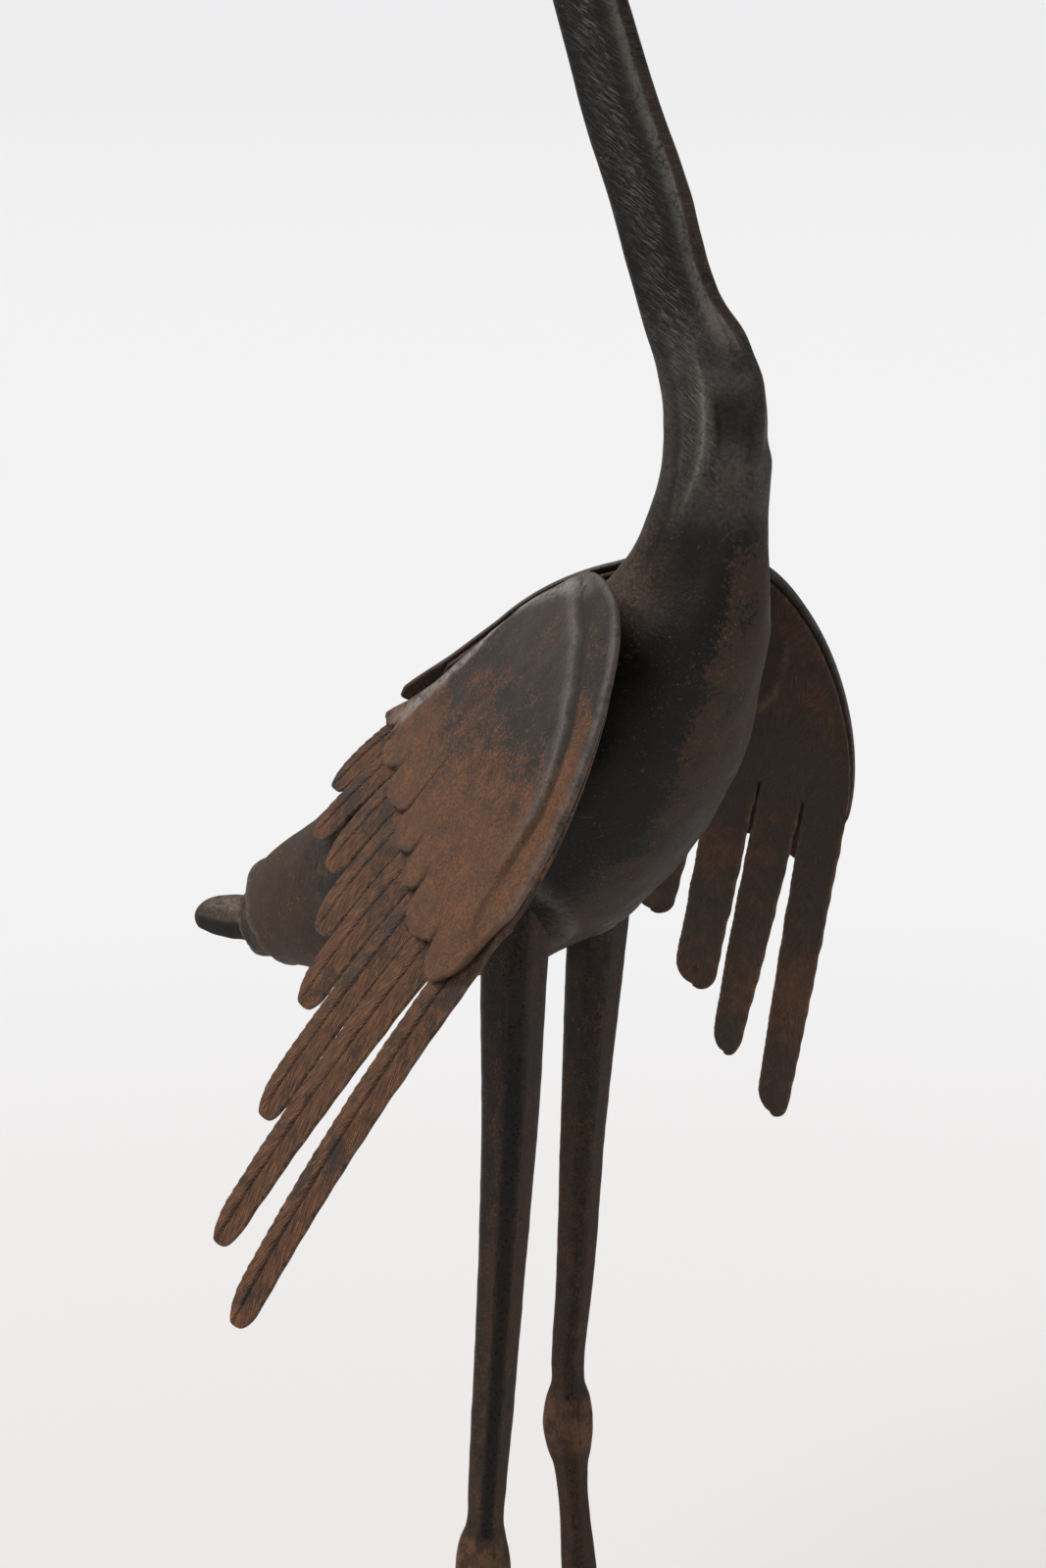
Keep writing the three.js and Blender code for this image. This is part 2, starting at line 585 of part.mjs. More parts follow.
// Base: a plain plate with round corners and its top edge broken.
function basePlate() {
  const outline = new THREE.Shape();
  const halfX = BASE_WIDTH / 2 - BASE_CHAMFER;
  const halfY = BASE_LENGTH / 2 - BASE_CHAMFER;
  const corner = BASE_CORNER - BASE_CHAMFER;
  outline.absarc(halfX - corner, halfY - corner, corner, 0, Math.PI / 2);
  outline.absarc(-halfX + corner, halfY - corner, corner, Math.PI / 2, Math.PI);
  outline.absarc(-halfX + corner, -halfY + corner, corner, Math.PI, Math.PI * 1.5);
  outline.absarc(halfX - corner, -halfY + corner, corner, Math.PI * 1.5, Math.PI * 2);
  const geometry = new THREE.ExtrudeGeometry(outline, {
    depth: BASE_THICK - 2 * BASE_CHAMFER,
    bevelThickness: BASE_CHAMFER,
    bevelSize: BASE_CHAMFER,
    bevelSegments: 1,
    curveSegments: BASE_CORNER_STEPS,
  });
  return geometry.translate(0, 0, BASE_CHAMFER);
}

const group = new THREE.Group();

function add(name, geometry, material) {
  const mesh = new THREE.Mesh(geometry, material);
  mesh.name = name;
  group.add(mesh);
}

const bodyCutter = toManifold(bodySolid(FIT_GAP));
const sleeveSocket = toManifold(tailSleeve(FIT_GAP));
const forging = toManifold(bodySolid(0)).add(shoulderLug('right')).add(shoulderLug('left'));
add('body_neck_and_head', toGeometry(forging.subtract(sleeveSocket)), blackIron);
add('tail_sleeve', toGeometry(toManifold(tailSleeve(0))), brownIron);
add('tail_feather', tailFeather(), brownIron);
for (const hand of ['right', 'left']) {
  const covertPlate = toManifold(coverts(hand)).subtract(bodyCutter);
  const flightPlate = toManifold(flightFeathers(hand, 0)).subtract(bodyCutter);
  add(`wing_${hand}_coverts`, toGeometry(covertPlate), brownIron);
  add(`wing_${hand}_flight_feathers`, toGeometry(flightPlate), brownIron);
}
add('leg_right', leg(RIGHT_LEG, -1, bodyCutter), blackIron);
add('leg_left', leg(LEFT_LEG, 1, bodyCutter), blackIron);
add('base', basePlate(), baseIron);

export default group;
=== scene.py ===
import math

import bmesh
import bpy
import numpy as np
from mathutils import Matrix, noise


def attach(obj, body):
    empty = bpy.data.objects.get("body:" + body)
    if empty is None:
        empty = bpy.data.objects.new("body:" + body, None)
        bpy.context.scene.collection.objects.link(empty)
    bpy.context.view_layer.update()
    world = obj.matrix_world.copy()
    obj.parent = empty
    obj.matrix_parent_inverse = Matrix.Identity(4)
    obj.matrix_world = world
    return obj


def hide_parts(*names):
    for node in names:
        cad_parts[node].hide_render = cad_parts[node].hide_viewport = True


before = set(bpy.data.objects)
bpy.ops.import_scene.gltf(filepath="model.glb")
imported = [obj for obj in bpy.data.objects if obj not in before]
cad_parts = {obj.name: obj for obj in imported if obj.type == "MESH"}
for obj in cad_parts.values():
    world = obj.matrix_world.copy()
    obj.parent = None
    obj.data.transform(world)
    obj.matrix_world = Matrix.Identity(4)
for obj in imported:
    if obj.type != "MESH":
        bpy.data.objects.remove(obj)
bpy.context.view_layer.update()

# Body, neck, head and bill: one forging of iron, hollow and open at the tail, hammered round in the body
# and drawn out into a faceted neck. It is blackened, rubbed bright along the ridges and rusts in patches.
# Over that lie painted highlights beside the front ridge and along the back, a painted sheen on the neck's
# chisel strokes and painted shade in its hollows and under the knuckle.
MM = 0.001
RIDGE_SHARPNESS = 22


class RowCurve:
    """A smooth curve through rows of numbers, whose first two columns say how far apart the rows are."""

    def __init__(self, rows):
        self.rows = np.array(rows, float)
        steps = np.hypot(np.diff(self.rows[:, 0]), np.diff(self.rows[:, 1]))
        self.stops = np.concatenate([[0], np.cumsum(steps)])
        self.length = self.stops[-1]
        chords = np.diff(self.rows, axis=0) / steps[:, None]
        self.slopes = (np.vstack([chords[:1], chords]) + np.vstack([chords, chords[-1:]])) / 2

    def at(self, distance):
        """The columns of the row at each distance along the curve."""
        distance = np.clip(distance, 0, self.length)
        end = np.clip(np.searchsorted(self.stops, distance, side="right"), 1, len(self.stops) - 1)
        start = end - 1
        span = (self.stops[end] - self.stops[start])[:, None]
        part = (distance - self.stops[start])[:, None] / span
        share = part * part * (3 - 2 * part)
        between = self.rows[start] * (1 - share) + self.rows[end] * share
        leaving = self.slopes[start] * part * (1 - part) ** 2
        arriving = self.slopes[end] * part**2 * (1 - part)
        return (between + span * (leaving - arriving)).T


def section(angle, faces, crispness):
    """How far a section's edge is from its middle, and how near a ridge of it is, 0 to 1."""
    reach = np.array([np.maximum(np.cos(angle - turn), 0) * flatness for turn, flatness in faces])
    radius = np.sum(reach**crispness, axis=0) ** (-1 / crispness)
    ranked = np.sort(reach, axis=0)
    return radius, (ranked[-2] / ranked[-1]) ** RIDGE_SHARPNESS


def points_at(x, y, z):
    """Points, one a row, from their coordinates."""
    return np.stack(np.broadcast_arrays(x, y, z), axis=1)


def lumps(points, size):
    """Unevenness of about -1 to 1 at these points, with lumps of about that size in millimetres."""
    return 1.4 * np.array([noise.noise(point) for point in (points / size).tolist()])


def ramp(low, high, value):
    """0 up to low, 1 from high on, and straight between. High may be the smaller of the two."""
    return np.clip((value - low) / (high - low), 0, 1)


def smooth(low, high, value):
    """A ramp that starts and ends softly."""
    part = ramp(low, high, value)
    return part * part * (3 - 2 * part)


def hump(distance, width):
    """1 where the distance is 0, and less on both sides of it."""
    return np.exp(-((distance / width) ** 2))


def rolled(name, rings, sides, place, strips=1):
    """A grid rolled up into a tube of rings, or into several tubes, one a strip.

    place gives the point of each ring and side, in millimetres, and the marks that a finish reads off it.
    """
    bm = bmesh.new()
    bmesh.ops.create_grid(bm, x_segments=sides, y_segments=rings - 1, size=1)
    bm.verts.ensure_lookup_table()
    number = np.arange(len(bm.verts))
    ring = number // (sides + 1)
    points, marks = place(ring, number % (sides + 1) % sides)
    layers = {mark: bm.verts.layers.float.new(mark) for mark in marks}
    for vert, point in zip(bm.verts, (points * MM).tolist()):
        vert.co = point
    for mark, values in marks.items():
        for vert, value in zip(bm.verts, np.broadcast_to(values, number.shape).tolist()):
            vert[layers[mark]] = value
    if strips > 1:
        in_strip = rings // strips
        first_ring = {face: ring[min(vert.index for vert in face.verts)] for face in bm.faces}
        between = [face for face, first in first_ring.items() if first % in_strip == in_strip - 1]
        bmesh.ops.delete(bm, geom=between, context="FACES")
    bmesh.ops.remove_doubles(bm, verts=bm.verts, dist=0.01 * MM)
    bmesh.ops.holes_fill(bm, edges=bm.edges, sides=4)
    bmesh.ops.recalc_face_normals(bm, faces=bm.faces)
    return piece_from(bm, name)


def piece_from(bm, name):
    """A piece of that name out of a mesh that is being made."""
    mesh = bpy.data.meshes.new(name)
    bm.to_mesh(mesh)
    bm.free()
    mesh.shade_smooth()
    piece = bpy.data.objects.new(name, mesh)
    bpy.context.collection.objects.link(piece)
    return piece


def joined(name, pieces):
    """One piece out of several."""
    bm = bmesh.new()
    for piece in pieces:
        bm.from_mesh(piece.data)
        bpy.data.meshes.remove(piece.data)
    return piece_from(bm, name)


def finished(piece, node, finish):
    """The piece stands for that CAD node and takes that finish."""
    piece.data.materials.append(finish)
    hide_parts(node)
    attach(piece, "root")


# Each row is where the line of the forging passes, y and z, then how far the front, back, side and bevelled
# faces stand off it, which way the side and the bevel face, and how crisp the ridges between them are.
# A bevel of 0 isn't there.
BODY_STATIONS = [
    [143, 439, 18.6, 22, 19.5, 90, 0, 60, 2],
    [128, 445, 23.5, 27.8, 25.8, 90, 0, 60, 2],
    [104, 453, 31, 35, 33.2, 90, 0, 60, 2],
    [78, 463, 38.5, 42, 40, 90, 0, 60, 2],
    [48, 477, 44.5, 46.5, 45, 90, 0, 60, 2],
    [18, 495, 46.5, 49, 47, 90, 0, 62, 2],
    [-5, 513, 45.5, 49, 47, 90, 0, 66, 2],
    [-24, 533, 41, 46, 45, 90, 0, 70, 2],
    [-40, 557, 34, 39, 38, 91, 0.01, 72, 2.1],
    [-51, 577, 26.5, 31, 28, 93, 0.033, 73, 2.6],
    [-58, 597, 22.5, 24, 20.5, 95, 0.058, 72, 4],
    [-61, 615, 20, 19, 15.8, 95, 0.0752, 71, 8],
    [-61.5, 634, 19.5, 15, 13.2, 94.8, 0.0735, 68.7, 16],
    [-60, 652, 21.5, 13, 11.7, 88, 0.0813, 64, 28],
    [-55, 667, 17, 11.5, 10.4, 84, 0.0893, 61, 36],
    [-46.5, 686, 12.8, 10.8, 9.3, 80, 0.0971, 58, 40],
    [-34, 720, 13, 10.6, 9.1, 80, 0.0985, 58, 40],
    [-20.5, 752, 12, 10.4, 8.7, 80, 0.103, 58, 40],
    [-8, 786, 11.3, 10.2, 8.2, 80, 0.1085, 58, 36],
    [1, 818, 10.5, 10.5, 7.8, 81, 0.1135, 58, 30],
    [4, 848, 10, 10, 7.7, 83, 0.114, 56, 20],
    [-2, 877, 9.5, 10.5, 7.8, 86, 0.112, 54, 12],
    [-17, 899, 10, 11.5, 8.8, 90, 0.09, 50, 6],
    [-38, 908, 11, 13, 10.2, 90, 0.04, 50, 3.2],
    [-56, 906, 9, 10, 8.2, 90, 0.02, 50, 2.8],
    [-69, 903, 6.5, 6.5, 5.6, 90, 0.02, 50, 2.5],
    [-93, 899, 4.8, 4.8, 4, 90, 0, 50, 2.6],
    [-131, 893, 3.3, 3.3, 2.8, 90, 0, 50, 2.6],
    [-166, 887, 1.6, 1.6, 1.4, 90, 0, 50, 2.3],
]
BODY_WALL = 2.4
TAIL_SOCKET = 24
BODY_SIDES = 132
RING_STEP = 2
HEAD_LENGTH = 165
HEAD_STEP = 0.9
# A ring that is set in this far is drawn together to one point.
CLOSED = -99
KNUCKLE_HEIGHT = 668
BREAST_HEIGHT = 580
SCOOP_LOW, SCOOP_TOP = 631, 657
EYE, EYE_RADIUS = (-41, 911), 2.7
THIGH, THIGH_FOLD = (28, 1), 16.5
LIP_REACH, LIP_FLARE, LIP_FLARE_ON_TOP = 16, 0.7, 2
TEAR, TEAR_DEEPEST = 1.8, 6
# How far each of these stands proud of the body's faces.
BODY_RELIEF = {
    "knuckle": 2.2, "breast": 4, "thigh_fold": 2.2, "eye": 0.6, "eye_ring": -0.6, "crown": -0.8,
    "scoop": -2, "back_groove": -0.8, "gape": -0.4,
}
# What the finish reads off each point: where the iron is rubbed, with a painted highlight beside the front
# ridge and a painted rim light along the back; painted shade in the hollows; the scoop under the knuckle,
# painted dark as shade; the rusty front; and the chiselled sides of the neck, whose strokes carry a painted
# sheen.
BODY_MARKS = ("worn", "recess_shade", "scoop", "front", "side")

body_line = RowCurve(BODY_STATIONS)
head_start = body_line.length - HEAD_LENGTH
# Each ring's distance from the open tail and how far it is set in: up the socket's wall to the lip, then
# along the outside to the tip of the bill.
body_rings = [(TAIL_SOCKET, CLOSED)]
body_rings += [(depth, -BODY_WALL) for depth in np.arange(TAIL_SOCKET, 2, -RING_STEP)]
body_rings += [(0.9, -BODY_WALL), (0.3, -2.1), (0, -1.6), (0, -0.8), (0.3, -0.3), (0.9, 0)]
body_rings += [(distance, 0) for distance in np.arange(2.6, head_start, RING_STEP)]
body_rings += [(distance, 0) for distance in np.arange(head_start, body_line.length - 1, HEAD_STEP)]
body_rings += [(body_line.length - 0.4, -0.5), (body_line.length, CLOSED)]


def body_features(y, z, skin, radius, from_front):
    """How strong each feature of the body is, 0 to 1. Turns are in radians away from the front."""
    from_eye = np.hypot(skin[:, 1] - EYE[0], skin[:, 2] - EYE[1])
    from_thigh = np.hypot(np.abs(skin[:, 0]) - THIGH[0], skin[:, 1] - THIGH[1])
    ahead_of_thigh = smooth(4, -6, skin[:, 1]) * smooth(-22, -12, skin[:, 1])
    ahead_of_thigh = ahead_of_thigh * smooth(500, 476, skin[:, 2])
    scoop = smooth(SCOOP_LOW, SCOOP_LOW + 11, z) * smooth(SCOOP_TOP, SCOOP_TOP - 8, z)
    back_groove = hump((from_front - 2.15) * radius, 1.6)
    gape = hump((from_front - math.pi / 2) * radius, 0.45)
    return {
        "knuckle": hump(z - KNUCKLE_HEIGHT, 8) * hump(from_front - 0.6, 0.7),
        "breast": hump(z - BREAST_HEIGHT, 17) * smooth(1.7, 0.9, from_front),
        "thigh_fold": hump(from_thigh - THIGH_FOLD, 2.8) * ahead_of_thigh,
        "eye": hump(from_eye, 1.5),
        "eye_ring": hump(from_eye - EYE_RADIUS, 0.7),
        "crown": smooth(904, 918, skin[:, 2]),
        "scoop": scoop * smooth(-0.2, 0.35, from_front) * smooth(0.98, 0.8, from_front),
        "back_groove": back_groove * smooth(580, 610, z) * smooth(690, 655, z),
        "gape": gape * smooth(-58, -70, y) * smooth(882, 887, z),
    }


def place_on_body(ring, side):
    """Points of the forging. Side 0 is in front, and the others go round it to the bird's left."""
    angle = 2 * math.pi * side / BODY_SIDES
    distance, inset = np.array(body_rings)[ring].T
    turning = points_at(np.sin(angle), np.cos(angle), 0)
    on_top = smooth(-0.6, -0.95, turning[:, 1])
    tear = TEAR + 2.6 * lumps(turning, 0.42) + 1.1 * lumps(turning + 5, 0.16)
    tear = np.clip(tear, 0, TEAR_DEEPEST) * (1 - on_top)
    distance = distance + tear * ramp(LIP_REACH, 0, distance)
    y, z, front, back, side_off, side_turn, bevel, bevel_turn, crispness = body_line.at(distance)
    y_after, z_after = body_line.at(distance + 1)[:2]
    y_before, z_before = body_line.at(distance - 1)[:2]
    run = np.hypot(y_after - y_before, z_after - z_before)
    along_y = (y_after - y_before) / run
    along_z = (z_after - z_before) / run
    side_at = np.radians(side_turn)
    bevel_at = np.radians(bevel_turn)
    bevel = np.maximum(bevel, 1e-6)
    faces = [
        (0 * angle, 1 / front), (side_at, 1 / side_off), (-side_at, 1 / side_off), (bevel_at, bevel),
        (-bevel_at, bevel), (0 * angle + math.pi, 1 / back),
    ]
    radius, ridge = section(angle, faces, np.maximum(crispness, 2))
    heart = points_at(0, y, z)
    flat = points_at(np.sin(angle), -along_z * np.cos(angle), along_y * np.cos(angle))
    skin = heart + flat * radius[:, None]
    big = smooth(14, 40, radius)
    turned = np.where(angle > math.pi, angle - 2 * math.pi, angle)
    from_front = np.abs(turned)
    features = body_features(y, z, skin, radius, from_front)
    relief = sum(proud * features[name] for name, proud in BODY_RELIEF.items())
    flare = LIP_FLARE + (LIP_FLARE_ON_TOP - LIP_FLARE) * on_top
    relief = relief + flare * hump(distance - tear, 1.8) * (distance < LIP_REACH)
    relief = relief + lumps(skin, 24) * (0.2 + 0.65 * big) + lumps(skin + 50, 9) * (0.12 + 0.25 * big)
    radius = np.maximum(radius + inset + relief * (inset > CLOSED), 0)
    points = heart + flat * radius[:, None]

    crisp = smooth(5, 14, crispness)
    inside = (inset < -1) & (distance < TAIL_SOCKET + 5)
    rim = hump(distance - tear, 2.5) * (distance < LIP_REACH - 2)
    above_knuckle = smooth(660, 674, z)
    rubbed_front = smooth(0.8, 0.55, from_front) * above_knuckle
    # A painted rim light: a thin light line along the back ridge of the neck.
    painted_rim_light = 0.4 * smooth(1.9, 2.1, from_front)
    rubbed_knuckle = 0.8 * smooth(0.6, 0.8, from_front) * smooth(672, 656, z)
    rubbed = np.maximum(np.maximum(rubbed_front, painted_rim_light), rubbed_knuckle)
    # A painted highlight: a light band beside the front ridge, fading away from it.
    beside = 0.5 * smooth(0.7, 0.33, from_front) * (from_front > 0.3) * above_knuckle
    worn = np.maximum(ridge * rubbed, beside) * crisp + 0.5 * rim + 0.4 * features["thigh_fold"]
    neck_front = smooth(0.38, 0.28, from_front) * above_knuckle
    breast_front = smooth(-0.75, -0.35, turned) * smooth(1.4, 1, turned)
    breast_front = breast_front * smooth(622, 600, z) * smooth(460, 493, z)
    return points, {
        "worn": np.clip(worn, 0, 1),
        # Painted shade inside the tail socket, down the groove behind the neck and along the gape.
        "recess_shade": np.clip(inside + 0.6 * features["back_groove"] + features["gape"], 0, 1),
        # The scoop under the knuckle, which the finish paints dark as shade.
        "scoop": features["scoop"],
        "front": np.maximum(neck_front, breast_front),
        # side: the chiselled middle of the neck's sides, whose strokes the finish paints light as sheen.
        "side": smooth(0.9, 1.02, from_front) * smooth(2.2, 1.75, from_front) * crisp,
    }


body_shell = rolled("body_shell", len(body_rings), BODY_SIDES, place_on_body)

# On the bent sheet that each wing is made of, u runs back from the top of the shoulder and v down the wing,
# both in millimetres. It is needed here for the lugs, whose faces lie against the wings.
SHOULDER = np.array([44.5, -51, 590.5])
WING_SPREAD, WING_SWEEP, WING_TURN = np.radians([17.9, 37.2, 26])
WING_DOWN = np.array([math.tan(WING_SPREAD), math.tan(WING_SWEEP), -1])
WING_DOWN /= np.linalg.norm(WING_DOWN)
WING_BACK = np.array([-math.sin(WING_TURN), math.cos(WING_TURN), 0])
WING_BACK -= WING_BACK.dot(WING_DOWN) * WING_DOWN
WING_BACK /= np.linalg.norm(WING_BACK)
WING_OUT = np.cross(WING_DOWN, WING_BACK)
ARCH_HEIGHT = 100
ARCH_BACK = {"right": 78, "left": 86}
ARCH_FRONT = {"right": 76, "left": 71.5}
ARCH_FRONT_POWER = {"right": 1.7, "left": 1.5}
# Where the rim runs behind the arch, as u and v.
RIM_BEHIND = {
    "right": [(54, 27.8), (62.5, 55.6), (69, 80), (76, 99.5), (85, 113.5)],
    "left": [(80, 63.3), (93, 93), (103, 115)],
}
CURL = {"right": 6.5, "left": 2.5}
ROLL_BACK, ROLL_BACK_WIDTH = 2, 11
ROLL_LEAD, ROLL_LEAD_WIDTH = 1.6, 7
FALL_ROUND, FALL_STRAIGHTENING = 990, 308000
SHEET = 2.2
# How far off the coverts' outer face the outer face of the flight plate lies.
LINING = -3.1
WELD_GAP = 0.3


def on_arch(u, hand):
    """How far out on the arch of the rim a place is, 1 at its foot, and how round the arch is there."""
    across = np.where(u < 0, -u / ARCH_FRONT[hand], u / ARCH_BACK[hand])
    return across, np.where(u < 0, ARCH_FRONT_POWER[hand], 2)


def arch_top(u, hand):
    """How far down the wing its rim is."""
    across, power = on_arch(u, hand)
    top = ARCH_HEIGHT * (1 - np.maximum(0, 1 - across**power) ** (1 / power))
    behind = RIM_BEHIND[hand]
    return np.where(u > behind[0][0], np.interp(u, *zip(*behind)), top)


def from_rim(u, v, hand):
    """How far inside the rim a place of the sheet is."""
    slope = arch_top(u + 0.5, hand) - arch_top(u - 0.5, hand)
    return (v - arch_top(u, hand)) / np.hypot(1, slope)


def on_sheet(u, v, height, hand):
    """Points of a wing's sheet, raised off it by height. It falls away and its rim is rolled in."""
    across, power = on_arch(u, hand)
    up = np.maximum(0, 1 - v / ARCH_HEIGHT)
    out = ramp(0.7, 1, (across**power + up**power) ** (1 / power))
    curl = CURL[hand] * out**2 * ramp(20, 50, u) * ramp(ARCH_HEIGHT, 0, v)
    inside = from_rim(u, v, hand)
    behind = ramp(30, 50, u) * ramp(108, 88, v)
    curl = curl + ROLL_BACK * ramp(ROLL_BACK_WIDTH, 0, inside) ** 2 * behind
    ahead = ramp(0, -20, u) * ramp(104, 90, v)
    curl = curl + ROLL_LEAD * ramp(ROLL_LEAD_WIDTH, 0, inside) ** 2 * ahead
    fall = u**2 / FALL_ROUND - u**3 / FALL_STRAIGHTENING
    slope = 2 * u / FALL_ROUND - 3 * u**2 / FALL_STRAIGHTENING
    lift = (height - curl) / np.hypot(1, slope)
    points = SHOULDER + np.outer(v, WING_DOWN) + np.outer(u + lift * slope, WING_BACK)
    points = points + np.outer(lift - fall, WING_OUT)
    return points * (1 if hand == "left" else -1, 1, 1)


LUG_U, LUG_V = 34, 42
LUG_RADIUS, LUG_ROOT_RADIUS, LUG_LENGTH = 12, 15, 20
LUG_SIDES = 48
# How deep each ring lies, and 1 where it is open or 0 where it is drawn together.
LUG_RINGS = [(0, 0), (0.6, 1), (4, 1), (8, 1), (12, 1), (16, 1), (18, 1), (20, 1), (20, 0)]


def shoulder_lug(hand):
    """The boss on the body's side that the wing is welded to."""
    height = LINING - SHEET - WELD_GAP
    heights = np.array([height, height - LUG_LENGTH])
    face, root = on_sheet(np.full(2, LUG_U), np.full(2, LUG_V), heights, hand)
    along = (root - face) / np.linalg.norm(root - face)
    first = np.cross(along, (0, 0, 1))
    first /= np.linalg.norm(first)
    second = np.cross(along, first)

    def place(ring, side):
        deep, open_ = np.array(LUG_RINGS)[ring].T
        radius = (LUG_RADIUS + (LUG_ROOT_RADIUS - LUG_RADIUS) * deep / LUG_LENGTH) * open_
        angle = 2 * math.pi * side / LUG_SIDES
        points = face + np.outer(deep, along) + np.outer(radius * np.cos(angle), first)
        points = points + np.outer(radius * np.sin(angle), second)
        return points + 0.15 * lumps(points, 6)[:, None] * along, dict.fromkeys(BODY_MARKS, 0)

    return rolled("lug", len(LUG_RINGS), LUG_SIDES, place)


class Value:
    """A socket of a finish that sums can be written with."""

    def __init__(self, finish, socket):
        self.finish = finish
        self.socket = socket

    def sum(self, operation, first, second):
        return self.finish.node("ShaderNodeMath", {0: first, 1: second}, operation=operation)

    def __add__(self, other):
        return self.sum("ADD", self, other)

    def __sub__(self, other):
        return self.sum("SUBTRACT", self, other)

    def __rsub__(self, other):
        return self.sum("SUBTRACT", other, self)

    def __mul__(self, other):
        return self.sum("MULTIPLY", self, other)

    def __truediv__(self, other):
        return self.sum("DIVIDE", self, other)

    def __abs__(self):
        return self.sum("ABSOLUTE", self, 0)

    __radd__ = __add__
    __rmul__ = __mul__


def linear(red, green, blue):
    """A colour as it is read off a screen, 0 to 255, as light."""
    parts = [part / 255 for part in (red, green, blue)]
    light = [part / 12.92 if part <= 0.04045 else ((part + 0.055) / 1.055) ** 2.4 for part in parts]
    return light + [1]


class Finish:
    """A finish of iron while it is being mixed."""

    def __init__(self, name):
        self.material = bpy.data.materials.new(name)
        self.material.use_nodes = True
        self.tree = self.material.node_tree
        self.tree.nodes.clear()
        self.place = self.node("ShaderNodeTexCoord", output="Object")

    def node(self, kind, sockets=None, output=0, **settings):
        """A new node with those settings and those values or links in its sockets."""
        made = self.tree.nodes.new(kind)
        for setting, value in settings.items():
            setattr(made, setting, value)
        for socket, value in (sockets or {}).items():
            if isinstance(value, Value):
                self.tree.links.new(value.socket, made.inputs[socket])
            else:
                made.inputs[socket].default_value = value
        return Value(self, made.outputs[output]) if made.outputs else made

    def marks(self, *names):
        """How strongly each of those marks lies on the surface."""
        return [self.node("ShaderNodeAttribute", output="Fac", attribute_name=name) for name in names]

    def cloud(self, size, detail=4, rough=0.55, stretch=(1, 1, 1)):
        """Noise about 0.5, with lumps of that size in millimetres."""
        place = self.node("ShaderNodeMapping", {"Vector": self.place, "Scale": stretch})
        return self.node("ShaderNodeTexNoise", {
            "Vector": place, "Scale": 1 / (size * MM), "Detail": detail, "Roughness": rough})

    def strokes(self, across, along, width, length):
        """Noise about 0.5, drawn out into strokes of that width and length in millimetres."""
        place = self.node("ShaderNodeCombineXYZ", {0: across / width, 1: along / length})
        return self.node("ShaderNodeTexNoise", {"Vector": place, "Scale": 1, "Detail": 3, "Roughness": 0.5})

    def pits(self, size):
        """Distance from scattered points, about that many millimetres apart."""
        return self.node("ShaderNodeTexVoronoi", {"Vector": self.place, "Scale": 1 / (size * MM)})

    def step(self, value, low, high):
        """0 below low, 1 above high, and smooth between."""
        sockets = {"Value": value, "From Min": low, "From Max": high}
        return self.node("ShaderNodeMapRange", sockets, interpolation_type="SMOOTHSTEP")

    def wave(self, phase):
        """A wave of 0 to 1 that repeats each time phase grows by 1."""
        return 0.5 + 0.5 * self.node("ShaderNodeMath", {0: phase * (2 * math.pi)}, operation="SINE")

    def coats(self, colour, *coats):
        """That colour under coats, each the share of the surface that it covers and its own colour."""
        colour = linear(*colour)
        for share, coat in coats:
            sockets = {"Factor": share, 6: colour, 7: linear(*coat)}
            colour = self.node("ShaderNodeMix", sockets, 2, data_type="RGBA", clamp_factor=True)
        return colour

    def parts(self, value):
        """The three parts of a place, in millimetres."""
        split = self.node("ShaderNodeSeparateXYZ", {0: value})
        outputs = split.socket.node.outputs
        return [Value(self, outputs[axis]) / MM for axis in "XYZ"]

    def done(self, colour, rough, metal, height, depth, shine):
        """The finish with that colour, where a height of 1 stands depth millimetres proud."""
        bump = self.node("ShaderNodeBump", {"Strength": 1, "Distance": depth * MM, "Height": height})
        shader = self.node("ShaderNodeBsdfPrincipled", {
            "Base Color": colour, "Roughness": rough, "Metallic": metal, "Normal": bump,
            "Specular IOR Level": shine})
        self.node("ShaderNodeOutputMaterial", {"Surface": shader})
        return self.material


# The middle of the rubbed and rusty place on the body beside the right shoulder.
NEAR_SHOULDER = (-26, -30, 594)


